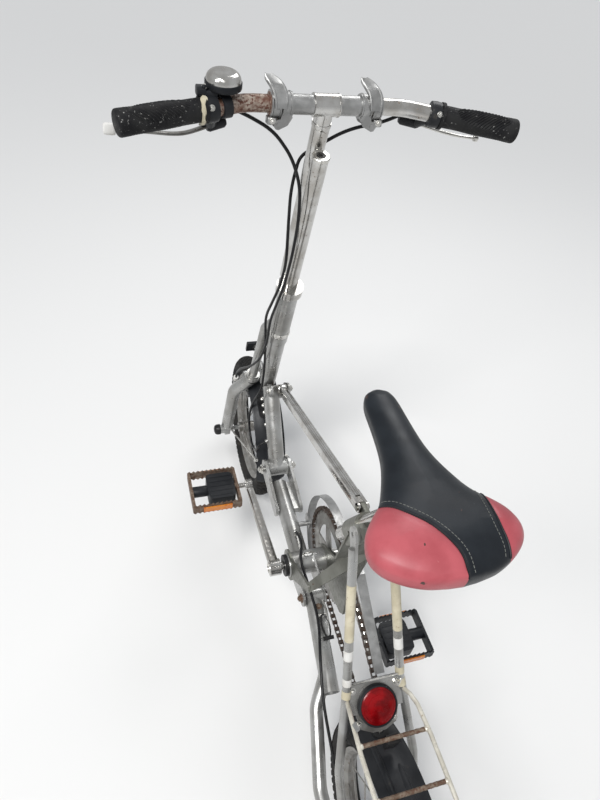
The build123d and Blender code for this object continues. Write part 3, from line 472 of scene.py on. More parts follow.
def make_chain():
    """Waisted side plates, rollers and pins round the cog and the chainring."""
    piece = Piece("chain_links", ["chain_steel"])
    dy = REAR_AXLE[0] - BB[0]
    dz = REAR_AXLE[1] - BB[1]
    apart = math.hypot(dy, dz)
    base = math.atan2(dz, dy)
    turn_a = math.acos((RING_PITCH_R - COG_PITCH_R) / apart)
    run = math.sqrt(apart ** 2 - (RING_PITCH_R - COG_PITCH_R) ** 2)
    around_cog = COG_PITCH_R * 2 * turn_a
    around_ring = RING_PITCH_R * (2 * math.pi - 2 * turn_a)
    total = 2 * run + around_cog + around_ring
    count = 2 * round(total / PITCH / 2)

    a0 = base - turn_a
    a1 = base + turn_a

    def on_ring(a):
        return wheel_point(BB, 0, RING_PITCH_R, a)

    def on_cog(a):
        return wheel_point(REAR_AXLE, 0, COG_PITCH_R, a)

    def point(s):
        """Place on the pitch line: lower run, cog, upper run, chainring."""
        if s < run:
            return on_ring(a0).lerp(on_cog(a0), s / run)
        s -= run
        if s < around_cog:
            return on_cog(a0 + s / COG_PITCH_R)
        s -= around_cog
        if s < run:
            return on_cog(a1).lerp(on_ring(a1), s / run)
        return on_ring(a1 + (s - run) / RING_PITCH_R)

    for i in range(count):
        p = point(total * i / count)
        q = point(total * ((i + 1) % count) / count)
        step = (q - p).length
        uy = (q.y - p.y) / step
        uz = (q.z - p.z) / step
        outline = []
        for centre, sign in ((0.0, -1), (step, 1)):
            for j in range(7):
                a = math.radians(-70 + 140 * j / 6)
                outline.append((centre + sign * LINK_R * math.cos(a), sign * LINK_R * math.sin(a)))
            outline.append((step / 2, sign * LINK_WAIST))
        inner = 2.6 if i % 2 else 3.4
        for side in (-1, 1):
            x = CHAIN_X + side * inner
            points = [(x, p.y + uy * a - uz * b, p.z + uz * a + uy * b) for a, b in outline]
            piece.slab(points, (side * LINK_THICK, 0, 0))
        for half, r, steps in ((2.4, 4.1, 12), (4.7, 1.6, 8)):
            piece.lathe((CHAIN_X - half, p.y, p.z), (1, 0, 0), [(0, r), (half * 2, r)], steps)
    obj = piece.done(None, ("chain",))
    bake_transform(obj)


make_chain()

# Grips with slanted ribs
GRIP_FROM = 168
GRIP_TO = 270
GRIP_END = 4
GRIP_NECK_R = 14.4
COLLAR_R = 17.6
GROOVE_R = 15.2
RIB_PITCH = 5.0
RIB_HIGH = 1.1


def make_grip(side, name):
    """Palm-shaped sleeve: ribbed panel on top, pebbled belly, smooth collar and a flared end."""
    piece = Piece("grip_" + name + "_sleeve", ["grip_rubber"])
    a = bar_point(side * GRIP_FROM)
    b = bar_point(side * GRIP_TO)
    w = (b - a).normalized()
    u = Vector((0, -0.55, 0.83))
    u = (u - w * u.dot(w)).normalized()
    v = w.cross(u)
    length = (b - a).length
    count = 200
    rows = []
    for i in range(count + 1):
        t = i / count
        h = -GRIP_END + (length + 2 * GRIP_END) * t
        row = []
        for turn_a in round_angles(96):
            up = math.cos(turn_a)
            base = GRIP_NECK_R + 1.5 * smooth_step((t - 0.22) / 0.3) * (0.7 + 0.3 * up)
            base += 0.7 * smooth_step((t - 0.8) / 0.15)
            if t < 0.045:
                base = COLLAR_R
            elif t < 0.06:
                base = GROOVE_R
            width = 0.62 * math.sqrt(max(0.0, 1 - ((t - 0.53) / 0.34) ** 2))
            edge = width - abs(math.sin(turn_a / 2)) * 1.15
            if width > 0 and up > 0 and edge > 0:
                slant = (h + side * 19.8 * math.sin(turn_a)) * 2 * math.pi / RIB_PITCH
                base += RIB_HIGH * min(1.0, edge / 0.05) * (0.2 + 0.8 * math.sin(slant))
            elif 0.3 < t < 0.9:
                base += 0.32 * math.sin(h * 1.9) * math.sin(turn_a * 24)
            inside = min(GRIP_END, length + GRIP_END - h)
            base -= GRIP_END - math.sqrt(max(0.0, GRIP_END ** 2 - (GRIP_END - inside) ** 2))
            row.append(a + w * h + (u * math.cos(turn_a) + v * math.sin(turn_a)) * base)
        rows.append(row)
    piece.rings(rows)
    piece.done("bar_" + name, ("grip_" + name,))


make_grip(-1, "left")
make_grip(1, "right")

# Saddle: crowned pad, black over the middle and faded red at both rear sides.
# Outline as (y, half width), and the seams of the red panels as (x, y)
SADDLE_HALF = ((-291, 5), (-294, 13), (-300, 18), (-313, 21.5), (-345, 23.5), (-376, 26.5), (-400, 32),
               (-427, 43), (-448, 54), (-462, 67), (-478, 80), (-492, 85.5), (-503, 86.5), (-513, 83.5),
               (-522, 77), (-531, 66), (-539, 52), (-545, 36), (-548.5, 16))
SADDLE_TOP = 780
RIM_LOW = 758
RIM_RISE = 10
SEAM_LEFT = ((-78, -444), (-66, -447), (-59.6, -451.9), (-54.6, -456), (-48, -461.7), (-39.3, -472),
             (-30.3, -482.1), (-22, -490.9), (-14.7, -501.5), (-9.5, -511.1), (-5, -520.8), (-2.6, -528.7),
             (-1.6, -536.3), (-1.6, -543.3), (-1.6, -549), (-1.6, -560))
SEAM_RIGHT = ((72, -432), (65, -447), (60, -462), (56.6, -478.6), (54, -494.8), (53.2, -508), (53.6, -516.8),
              (53.8, -526.1), (53.2, -533.1), (52.2, -540), (52, -560))
STITCH_IN = 7.5
STITCH_PITCH = 4.2
STITCH_LONG = 3.3
SPINE_FRONT = -310
SPINE_BACK = -490


def flat_curve(points, per=6):
    return [(p.x, p.y) for p in curve_points([(x, y, 0) for x, y in points], per)]


def near(x, y, line, closed=False):
    """Distance from a point to a flat line, and on which side of it the point lies."""
    best = 1e9
    side = 1
    last = len(line) if closed else len(line) - 1
    for i in range(last):
        ax, ay = line[i]
        bx, by = line[(i + 1) % len(line)]
        ux = bx - ax
        uy = by - ay
        t = min(1.0, max(0.0, ((x - ax) * ux + (y - ay) * uy) / (ux * ux + uy * uy)))
        gap = math.hypot(x - ax - ux * t, y - ay - uy * t)
        if gap < best:
            best = gap
            side = 1 if ux * (y - ay) - uy * (x - ax) > 0 else -1
    return best, side


HALF_SMOOTH = flat_curve([(w, y) for y, w in SADDLE_HALF], 4)
SADDLE_RING = [(0, -290.4)] + HALF_SMOOTH + [(0, -549.6)] + [(-x, y) for x, y in reversed(HALF_SMOOTH)]
LEFT_LINE = flat_curve(SEAM_LEFT, 4)
RIGHT_LINE = flat_curve(SEAM_RIGHT, 4)


def saddle_width(y):
    for (y0, w0), (y1, w1) in zip(SADDLE_HALF, SADDLE_HALF[1:]):
        if y >= y1:
            return w0 + (w1 - w0) * min(1.0, max(0.0, (y0 - y) / (y0 - y1)))
    return SADDLE_HALF[-1][1]


def spine_y(y):
    """Nearest place on the line that the pad's rows shrink towards."""
    return min(SPINE_FRONT, max(SPINE_BACK, y))


def drawn_in(x, y, inset, share=1.0):
    """A point of the pad's outline moved in towards the spine."""
    to = Vector((-x, spine_y(y) - y, 0))
    return Vector((x, y, 0)) + to.normalized() * min(inset, to.length * share)


def rim_height(y):
    return RIM_LOW + RIM_RISE * smooth_step((y + 430) / 130)


def panel_depth(x, y):
    """Distance into a red panel, negative in the black cover."""
    left, side_l = near(x, y, LEFT_LINE)
    right, side_r = near(x, y, RIGHT_LINE)
    left *= -side_l
    right *= side_r
    return left if abs(left) < abs(right) else right


def saddle_top(x, y):
    """Height of the pad's crowned top."""
    rim = rim_height(y)
    inside = near(x, y, SADDLE_RING, True)[0]
    reach = min(50.0, max(saddle_width(y), 10.0))
    rise = math.sqrt(max(0.0, 1 - (1 - min(1.0, inside / reach)) ** 2))
    z = rim + (SADDLE_TOP - rim) * 0.98 * rise
    depth = panel_depth(x, y)
    z += (0.9 * smooth_step(depth / 9) - 1.1 * math.exp(-(depth / 1.5) ** 2)) * min(1.0, inside / 6)
    return z


def even_ring(points, count):
    """The same closed line with evenly spaced points."""
    loop = points + [points[0]]
    lengths = [math.dist(p, q) for p, q in zip(loop, loop[1:])]
    step = sum(lengths) / count
    out = []
    i = 0
    gone = 0.0
    for k in range(count):
        while gone + lengths[i] < k * step:
            gone += lengths[i]
            i += 1
        t = (k * step - gone) / lengths[i]
        out.append(tuple(a + (b - a) * t for a, b in zip(loop[i], loop[i + 1])))
    return out


def cover_material():
    """Black vinyl that turns red where the mesh says so, with fine grain and scuffs."""
    m, shader = new_material("saddle_cover_vinyl")
    tree = m.node_tree
    coord = tree.nodes.new("ShaderNodeTexCoord").outputs["Object"]
    panel = tree.nodes.new("ShaderNodeAttribute")
    panel.attribute_name = "panel"
    mask = ramp(tree, panel.outputs["Fac"], -0.15, 0.15)
    tone = ramp(tree, noise(tree, coord, 22, 5), 0.35, 0.65)
    black = mixed(tree, tone, (0.005, 0.007, 0.010), (0.010, 0.013, 0.017))
    red = mixed(tree, tone, (0.42, 0.090, 0.105), (0.34, 0.064, 0.076))
    colour = mixed(tree, mask, black, red)
    scuff = ramp(tree, noise(tree, coord, 150, 6, 0.7, (1, 0.25, 1)), 0.67, 0.74)
    colour = mixed(tree, scuff, colour, mixed(tree, mask, (0.055, 0.058, 0.062), (0.56, 0.24, 0.24)))
    dots = ramp(tree, noise(tree, coord, 75, 2, 0.4), 0.735, 0.75)
    colour = mixed(tree, dots, colour, (0.06, 0.035, 0.03))
    tree.links.new(colour, shader.inputs["Base Color"])
    tree.links.new(ramp(tree, noise(tree, coord, 40, 5), 0.3, 0.7, 0.34, 0.44), shader.inputs["Roughness"])
    shader.inputs["Specular IOR Level"].default_value = 0.3
    add_bump(tree, shader, noise(tree, coord, 1500, 3, 0.6), 0.22, 0.0005)
    return m


MATS["saddle_cover"] = cover_material()
# Rolled side of the pad under its rim: drop and inset
SKIRT = ((5, 0.3), (10, 1.2), (14.5, 2.8), (18, 5), (20.3, 8), (21.2, 12), (21.4, 17))


def make_saddle():
    piece = Piece("saddle_pad", ["saddle_cover"])
    rim = even_ring(SADDLE_RING, 300)
    rows = []
    for drop, inset in reversed(SKIRT):
        row = []
        for x, y in rim:
            p = drawn_in(x, y, inset)
            row.append(Vector((p.x, p.y, rim_height(y) - drop)))
        rows.append(row)
    steps = 52
    for k in range(steps + 1):
        t = (k / steps) ** 1.7
        row = []
        for x, y in rim:
            px = x * (1 - t)
            py = y + (spine_y(y) - y) * t
            row.append(Vector((px, py, saddle_top(px, py) if k else rim_height(y))))
        rows.append(row)
    piece.rings(rows, 0, True, True)
    obj = piece.done("saddle", ("saddle_cover",))
    mesh = obj.data
    bm = bmesh.new()
    bm.from_mesh(mesh)
    bmesh.ops.remove_doubles(bm, verts=bm.verts, dist=0.00005)
    bmesh.ops.recalc_face_normals(bm, faces=bm.faces)
    bm.to_mesh(mesh)
    bm.free()
    mesh.shade_smooth()
    places = [v.co / MM + ORIGIN for v in mesh.vertices]
    values = [panel_depth(p.x, p.y) for p in places]
    layer = mesh.attributes.new("panel", "FLOAT", "POINT")
    layer.data.foreach_set("value", values)
    return obj


def seam_points(line, offset, lift):
    """Points beside a seam line, laid on the pad's surface."""
    out = []
    for i in range(1, len(line) - 1):
        ux = line[i + 1][0] - line[i - 1][0]
        uy = line[i + 1][1] - line[i - 1][1]
        size = math.hypot(ux, uy)
        x = line[i][0] - uy / size * offset
        y = line[i][1] + ux / size * offset
        if near(x, y, SADDLE_RING, True)[1] < 0:
            out.append(Vector((x, y, saddle_top(x, y) + lift)))
    return out


def make_seams():
    """Piping on the seams and a row of stitches beside each."""
    piping = Piece("saddle_piping", ["black_plastic"])
    thread = Piece("saddle_stitches", ["grey_thread"])
    for line, sign in ((LEFT_LINE, 1), (RIGHT_LINE, -1)):
        piping.tube(seam_points(line, 0.6 * sign, 0.35), 1.25, 8)
        path = curve_points(seam_points(line, STITCH_IN * sign, 0.12), 5)
        walked = 0.0
        stitch = []
        for a, b in zip(path, path[1:]):
            if walked % STITCH_PITCH < STITCH_LONG:
                stitch.append(a)
            else:
                if len(stitch) > 1:
                    thread.tube(stitch, 0.42, 6)
                stitch = []
            walked += (b - a).length
    piping.done("saddle")
    thread.done("saddle")


make_saddle()
make_seams()


# Small pieces of the bars
def bar_ring(piece, side, x0, x1, profile, mat, steps=32):
    """Turned ring round the bar between two x places."""
    p = bar_point(side * x0)
    q = bar_point(side * x1)
    piece.lathe(p, q - p, [(h * (q - p).length, r) for h, r in profile], steps, mat)


def make_bell():
    """Chromed dome on a black base and clamp, with its thumb lever."""
    piece = Piece("bell_dome", ["chrome", "black_plastic"])
    at = bar_point(-139) + Vector((0, 5, 21))
    up = Vector((0, -0.12, 1))
    bar_ring(piece, -1, 131, 143, [(0, 13.4), (0.06, 14.6), (0.94, 14.6), (1, 13.4)], 1)
    piece.lathe(at - up * 12, up, [(0, 8.5), (3, 8), (7, 9), (10, 16), (12, 22.4)], 40, 1)
    piece.lathe(at, up, [(-1, 21), (0, 23), (1.2, 23.6), (7.4, 23.6), (8.4, 23)], 48, 1)
    dome = [(8.4, 22.4)]
    for i in range(1, 13):
        t = math.radians(7.5 * i)
        dome.append((8.4 + 10.6 * math.sin(t), 22.4 - 9.4 * (1 - math.cos(t))))
    dome += [(19.3, 10), (19.6, 5), (19.7, 0.4)]
    piece.lathe(at, up, dome, 48, 0)
    piece.lathe(at + Vector((-20, -10, 3)), (-1, -0.4, 0), [(0, 3), (8, 2.6), (9, 1.5)], 12, 1)
    piece.done("bar_left", ("bell",))


# Brake levers: x, then how far in front of and below the bar's line, from root to tip
LEVER_LINE = {-1: ((-132, 20, -26), (-158, 22, -29), (-190, 30, -36), (-235, 34, -28), (-276, 34, -18)),
              1: ((122, 26, -21), (152, 27, -22), (185, 33, -28), (215, 35, -30), (241, 34, -28))}
CABLE_X = 147.3


def squared(centre, w, f, rows):
    """Rings of a block with rounded corners round an axis: rows are (along, half size)."""
    side = w.cross(f).normalized()
    shares = [boxy(t, 0.55) for t in round_angles(24)]
    return [[centre + w * h + f * (half * cx) + side * (half * cz) for cx, cz in shares] for h, half in rows]


def make_bar_trim():
    """Brake levers on both bars, and the block of small clamps on the left one."""
    for side, body, name in ((-1, "bar_left", "left"), (1, "bar_right", "right")):
        lever = Piece("brake_lever_" + name + "_cast", ["black_plastic", "white_plastic", "bright_steel",
                                                        "cream_label", "housing", "bare_steel"])
        blade = 5 if side < 0 else 2
        bar_ring(lever, side, 149.3, 164.2, [(0, 15), (0.04, 16.4), (0.5, 17.2), (0.96, 16.4), (1, 15)], 0)
        line = [bar_point(x, y, z) for x, y, z in LEVER_LINE[side]]
        root, pivot = line[0], line[1]
        lever.tube([root, root + (pivot - root) * 0.12, root + (pivot - root) * 0.88, pivot],
                   [5.2, 7.6, 8.2, 6.4], 24, 0)
        a = bar_point(side * 157)
        drop = root + (pivot - root) * 0.8 - a
        lever.lathe(a + drop * 0.25, drop,
                    [(0, 9.2), (drop.length * 0.55, 8.4), (drop.length * 0.7, 7.2)], 28, 0)
        out = Vector((side * 15.3, -0.4, -2.8)).normalized()
        barrel_at = Vector((side * CABLE_X, 42, 989.2))
        lever.lathe(barrel_at - out * 3, out,
                    [(0, 3.4), (0.6, 4.2), (9, 4.6), (10, 6.0), (20, 6.4), (21, 5)], 24, 4)
        web = barrel_at + out * 12 - pivot
        lever.lathe(pivot, web, [(0, 6.4), (web.length, 5.6)], 20, 0)
        shape = curve_points([root + (pivot - root) * 0.7] + line[2:], 8)
        count = len(shape) - 1
        rows = []
        for i, at in enumerate(shape):
            t = i / count
            ahead = (shape[min(i + 1, count)] - shape[max(i - 1, 0)]).normalized()
            up = ahead.cross(Vector((0, 1, 0))).normalized()
            level = up.cross(ahead).normalized()
            half = 5.4 - 1.8 * smooth_step(t * 1.2)
            thick = 2.6 - 0.5 * t
            rows.append([at + level * (half * math.cos(a)) + up * (thick * math.sin(a))
                         for a in round_angles(16)])
        lever.rings(rows, blade)
        tip_way = (shape[-1] - shape[-2]).normalized()
        if side < 0:
            lever.rings(squared(shape[-1] + tip_way * 5, tip_way, Vector((0, 0.94, -0.33)),
                                ((-8, 5.2), (-7, 6.7), (-4, 7.2), (4, 7.2), (6.6, 6.5), (7.8, 4.6))), 1)
        else:
            lever.lathe(shape[-1], tip_way, [(-4, 3), (-3, 4.6), (0, 5.3), (3, 4.6), (4.4, 2.4)], 20, blade)
        lever.bolt(a + Vector((0, -15.5, 5.5)), (0, -0.9, 0.35), 2.6, 2)
        if side < 0:
            ragged = []
            for h in range(9):
                row = []
                for t in round_angles(64):
                    torn = 1.7 * math.sin(3 * t + 0.6) + 1.1 * math.sin(7 * t)
                    x = 163.6 + 5.6 * h / 8 + torn * (h / 8 - 0.5) * 2
                    p = bar_point(-x)
                    r = 17.9 - 0.35 * abs(h - 4) / 4
                    row.append(p + Vector((0, math.cos(t) * r, math.sin(t) * r)))
                ragged.append(row)
            lever.rings(ragged, 3)
        lever.done(body, ("brake_lever_" + name,))
    gear = Piece("bar_clamp_block", ["black_plastic", "bright_steel"])
    on_bar = bar_point(-160)
    shares = [boxy(t, 0.6) for t in round_angles(20)]
    for dx, dz, half in ((0, 17, 7), (-8, 20, 6), (8, 19, 4)):
        gear.rings([[on_bar + Vector((dx + h, 4 + 9 * grow * cy, dz + 6 * grow * cz)) for cy, cz in shares]
                    for h, grow in ((-half, 0.85), (-half + 1, 1), (half - 1, 1), (half, 0.85))], 0)
    gear.bolt(on_bar + Vector((-4, 0, 25.5)), (0, -0.2, 1), 2.6, 1)
    gear.done("bar_left")


# Clamp covers: x, how far behind and above the bar's line, half width, from the tip down
COVER_LINE = ((-80, 8, 33, 4.5), (-76, 5, 30, 8.0), (-71, 0, 25.5, 9.6), (-67.5, -8, 20, 9.8),
              (-66, -14.5, 13, 9.4), (-66, -18, 6, 8.6), (-66, -19.2, 0, 8.0))
# A cover's section, as shares of its half width and heights over its line
COVER_SECTION = ((-1, -3.4), (-1, 0.3), (-0.9, 1.2), (-0.75, 1.2), (-0.65, 0.2), (0.65, 0.2), (0.75, 1.2),
                 (0.9, 1.2), (1, 0.3), (1, -3.4), (0.86, -3.4), (0.8, -1.3), (-0.8, -1.3), (-0.86, -3.4))
# Rings of a clamp: from and to in x, and the radius at four places between
CLAMP_RINGS = ((64.3, 66.0, (16.2, 17.4, 17.4, 16.6), 0.1), (66.0, 75.5, (16.6, 16.9, 16.9, 15.6), 0.06),
               (75.5, 77.6, (15.6, 17.0, 17.0, 15.9), 0.1))
BAND_RINGS = ((50.0, 51.6, (15.8, 16.4, 16.4, 15.8), 0.1), (60.6, 62.3, (15.8, 16.8, 16.8, 15.8), 0.1))


def clamp_rings(piece, side, table):
    for x0, x1, radii, edge in table:
        bar_ring(piece, side, x0, x1, list(zip((0, edge, 1 - edge, 1), radii)), 0, 40)


def make_clamps():
    """Cast covers curved over the two bar hinges, each with a split ring, a bolt hole and a rim."""
    for side, body in ((-1, "bar_left"), (1, "bar_right")):
        piece = Piece("clamp_cover_" + body[4:], ["grey_alloy", "rusty_steel", "bright_steel"])
        clamp_rings(piece, side, CLAMP_RINGS)
        base = bar_point(side * 66)
        mids = curve_points([Vector((x, y, z)) for x, y, z, half in COVER_LINE], 5)
        halves = [p.x for p in curve_points([Vector((half, 0, 0)) for x, y, z, half in COVER_LINE], 5)]
        rows = []
        for mid, half in zip(mids, halves):
            out = Vector((0, mid.y, mid.z)).normalized()
            at = base + Vector((mid.x + 66, mid.y, mid.z))
            rows.append([at + Vector((dx * half, 0, 0)) + out * dr for dx, dr in COVER_SECTION])
        piece.rings(rows, 0)
        hole = base + Vector((side * 3, -16.6, 2))
        piece.lathe(hole, (0, -1, 0.1), [(0, 4.6), (1.2, 4.6), (1.2, 3.0), (-0.2, 2.9)], 20, 0)
        piece.lathe(hole, (0, -1, 0.1), [(-0.3, 3.0), (0.3, 2.9)], 16, 1)
        lug = base + Vector((side * 9, -6, -18))
        block = squared(lug, Vector((0, 0, -1)), Vector((1, 0, 0)), ((-4, 6.5), (-3, 7), (4, 7), (5, 6)))
        piece.rings(block, 0)
        piece.bolt(lug + Vector((0, -6.8, 0.5)), (0, -1, 0), 2.8, 2)
        piece.done(body)
    piece = Piece("hinge_bands", ["grey_alloy"])
    for side in (-1, 1):
        clamp_rings(piece, side, BAND_RINGS)
    piece.done("fork")


def make_stem_trim():
    """Top of the quill with its bolt, collars of the bar's sleeve, foot of the riser and a weld bead."""
    piece = Piece("stem_trim", ["bright_steel", "black_metal", "chrome"])
    axis = st(0, 0, 0) - st(0, 0, 1)
    top = st(0, 0, 67)
    piece.lathe(top, axis,
                [(-3, 12.6), (-2.4, 13.4), (1.2, 13.4), (2.2, 12.4), (2.2, 7.2), (-0.6, 6.8)], 40, 0)
    piece.lathe(top, axis, [(-0.9, 6.9), (0.4, 6.7), (1.4, 5.8), (1.4, 3.1), (0.2, 3.0)], 6, 1)
    for x in (-17.2, 17.2):
        piece.lathe(bar_point(x), (1, 0, 0), [(-1.2, 14.4), (-0.9, 15.1), (0.9, 15.1), (1.2, 14.4)], 40, 2)
    foot = st(0, 25, 38)
    piece.lathe(foot, axis, [(0, 12.8), (2, 13.6), (5, 13.9), (8, 13.4)], 32, 2)
    rows = []
    for h, r in ((446, 19.1), (448, 20.2), (452, 20.6), (455, 20.1), (458, 19.1)):
        row = []
        for t in round_angles(60):
            wave = 0.5 * math.sin(5 * t + 1) + 0.35 * math.sin(11 * t)
            row.append(st(0, 0, h + wave) + Vector((math.cos(t) * (r + 0.1 * wave), 0, 0))
                       + (st(0, 1, 0) - st(0, 0, 0)) * (math.sin(t) * (r + 0.1 * wave)))
        rows.append(row)
    piece.rings(rows, 0)
    piece.done("fork")


def make_fork_trim():
    """End cap of the column, hub cap, bolts, brake bolt and the adjuster of the cable."""
    piece = Piece("fork_trim", ["black_metal", "bright_steel", "white_plastic"])
    a = st(-26.9, 22.6, 629)
    b = st(-27.2, 22.5, 643)
    along = b - a
    piece.lathe(b, along, [(-1.5, 14.2), (-1.1, 15.6), (0.7, 15.6), (1.1, 14.4)], 40, 0)
    axle = Vector((-88, *FRONT_AXLE))
    piece.lathe(axle, (-1, 0, 0), [(-6, 12.2), (-5, 13), (3, 12.6), (7, 10.4), (9, 6), (9.3, 0.5)], 32, 0)
    piece.bolt((39 + 6, *FRONT_AXLE), (1, 0, 0), 7, 1)
    back = st(-12, 79.5, 608)
    ahead = st(0, 0, 0) - st(0, 1, 0)
    piece.bolt(back, ahead, 4.2, 1)
    bend = [st(-18, 79, 604), st(-6, 79, 604), st(-6, 79, 618), st(-18, 79, 618)]
    piece.slab(bend, ahead * 1.6, 0)
    for side, y_arm in ((-1, 53), (1, 62)):
        piece.bolt(st(side * 36, y_arm - 4, 664), ahead, 2.6, 1, False)
    piece.bolt(st(0, 47, 652), ahead, 4.4, 1)
    cap = st(-54, 53, 683.5)
    down = st(0, 0, 1) - st(0, 0, 0)
    piece.lathe(cap, down, [(-6, 4.2), (-5.4, 5.8), (3.4, 6.1), (4.6, 5.2)], 24, 2)
    piece.lathe(cap, down, [(18, 3), (18.6, 4.4), (24, 4.4), (26, 2.8)], 6, 1)
    piece.done("fork")


# Fenders: radii of the crown, its beads, the rolled edge and the plate under the rivets
CROWN_R = 189.4
CROWN_DROP = 7.5
FENDER_WALL = 1.7
EDGE_R = 181.9
LIP_R = 180.2
BEAD_R = 189.2
BEAD_HIGH = 2.3
PLATE_R_IN = 187.6
PLATE_R_OUT = 191.2
RIVET_R = 190.6


def fender_strip(piece, axle, x, half, deg0, deg1):
    """Raised bead round a fender, rounded across and tapering out at both ends."""
    rows = []
    count = 40
    for i in range(count + 1):
        t = i / count
        a = math.radians(deg0 + (deg1 - deg0) * t)
        end = math.sqrt(max(0.0, 1 - abs(2 * t - 1) ** 14))
        row = []
        for k in range(9):
            q = -1 + k / 4
            lift = -0.4 + (BEAD_HIGH + 0.4) * math.sqrt(max(0.0, 1 - q * q)) * end
            row.append(wheel_point(axle, x + half * q * max(0.25, end), BEAD_R + lift, a))
        rows.append(row)
    piece.rings(rows, 0, False, False)


def fender_row(axle, half, deg):
    """Cross-section of a domed fender with rolled edges, as a closed row of points."""
    a = math.radians(deg)
    outer = []
    inner = []
    for k in range(21):
        q = -1 + k / 10
        crown = CROWN_R - CROWN_DROP * abs(q) ** 2.6
        outer.append(wheel_point(axle, half * q, crown, a))
        inner.append(wheel_point(axle, half * q * 0.985, crown - FENDER_WALL, a))
    lip_l = [wheel_point(axle, half * 1.02, EDGE_R, a), wheel_point(axle, half, LIP_R, a)]
    lip_r = [wheel_point(axle, -half, LIP_R, a), wheel_point(axle, -half * 1.02, EDGE_R, a)]
    return outer + lip_l + inner[::-1] + lip_r


# Fenders: half width, arc in degrees, beads as (x, half width, from, to), rivets as (x, places),
# and the place and reach of the plate under the rivets
FENDERS = (
    ("front", FRONT_AXLE, "fork", 32.5, (98, 178), ((-4, 7, 104, 172),),
     (-8, (116.4, 120.9, 125.7, 133.8)), 121.5, 8.5),
    ("rear", REAR_AXLE, "rear_stays", 33.5, (42, 190), ((-16, 4.5, 60, 168), (8, 5.5, 73, 172)),
     (4, (52.0, 56.8)), 54.5, 6.5),
)


def make_fenders():
    """Domed shells with beads, plates, rivets, stays and brackets."""
    for end_name, axle, body, half, arc, beads, rivets, plate_at, reach in FENDERS:
        piece = Piece(end_name + "_fender_shell", ["black_plastic", "bright_steel", "black_metal"])
        rows = []
        count = 72
        for i in range(count + 1):
            t = i / count
            end = min(1.0, 14 * min(t, 1 - t) + 0.72)
            rows.append(fender_row(axle, half * math.sqrt(end), arc[0] + (arc[1] - arc[0]) * t))
        piece.rings(rows, 0)
        for x, wide, a0, a1 in beads:
            fender_strip(piece, axle, x, wide, a0, a1)
        x, places = rivets
        rows = []
        for i in range(13):
            a = math.radians(plate_at - reach + 2 * reach * i / 12)
            wide = 12 * math.sqrt(max(0.05, 1 - abs(2 * i / 12 - 1) ** 6))
            rows.append([wheel_point(axle, x + dx * wide, r, a)
                         for dx, r in ((-1, PLATE_R_IN), (-1, PLATE_R_OUT), (1, PLATE_R_OUT), (1, PLATE_R_IN))])
        piece.rings(rows, 2)
        for deg in places:
            a = math.radians(deg)
            out = (0, math.cos(a), math.sin(a))
            piece.lathe(wheel_point(axle, x, RIVET_R, a), out,
                        [(0, 4.6), (2.2, 4.6), (3.4, 3.4), (3.9, 1.2)], 20, 1)
        if body == "fork":
            lug = [st(-8, 36, 658.5), st(-8, 43, 658.5), st(-8, 43, 668), st(-8, 36, 668)]
            piece.slab(lug, (16, 0, 0), 2)
            eye_a = math.radians(158)
            for side, x_eye in ((-1, -54), (1, 41)):
                low = wheel_point(axle, side * (half + 1.5), 184.5, eye_a)
                knee = wheel_point(axle, x_eye, 30, eye_a)
                piece.tube([low, knee, wheel_point(axle, x_eye, 9, eye_a)], 2.0, 10, 1)
                piece.lathe(low, (side, 0, 0), [(-3, 4), (3.5, 4), (4.5, 2.6)], 12, 1)
                piece.lathe((x_eye - 1.6, *axle), (1, 0, 0), [(0, 9), (3.2, 9)], 24, 1)
        else:
            bracket = [(-8, -569, 362), (-8, -575, 362), (-8, -578, 394.2), (-8, -566, 394.2)]
            piece.slab(bracket, (16, 0, 0), 2)
        piece.done(body, (end_name + "_fender",))


def make_tie():
    """Pressed channel with rolled edges and a raised middle line, forked round its rear pin."""
    piece = Piece("tie_channel", ["chrome"])
    front = Vector((TIE_X, *TIE_FRONT))
    rear = Vector((TIE_X, *TIE_REAR))
    w = (rear - front).normalized()
    up = Vector((1, 0, 0)).cross(w)
    if up.z < 0:
        up = -up
    length = (rear - front).length
    half = ((0.8, 5.4), (1.4, 4.4), (2.8, 4.4), (4.2, 6.4), (5.6, 7.6), (7.4, 7.2), (8.4, 5.2), (8.4, -7))
    section = [(-x, z) for x, z in reversed(half)] + list(half)
    section += [(6.4, -7), (6.4, 2.6), (-6.4, 2.6), (-6.4, -7)]
    rows = []
    for t in (6, 9, 14, 60, length * 0.5, length - 60, length - 30, length - 24):
        grow = 0.8 if t == 6 else 0.93 if t == 9 else 1.0
        rows.append([front + w * t + Vector((x, 0, 0)) + up * (z * grow) for x, z in section])
    piece.rings(rows, 0)
    piece.lathe(front - Vector((9.5, 0, 0)), (1, 0, 0), [(0, 9.4), (0.8, 10), (18.2, 10), (19, 9.4)], 36, 0)
    for x0 in (10.7, 23.2):
        corners = ((0, -7.4), (0, 7.4), (4.1, 7.4), (4.1, -7.4))
        piece.rings([[rear + w * t + Vector((x0 - TIE_X + x, 0, 0)) + up * z for x, z in corners]
                     for t in (-36, 0)], 0)
        piece.lathe((x0, rear.y, rear.z), (1, 0, 0), [(0, 7.5), (0.5, 8), (3.6, 8), (4.1, 7.5)], 32, 0)
    piece.done("tie_rod", ("tie_rod",))


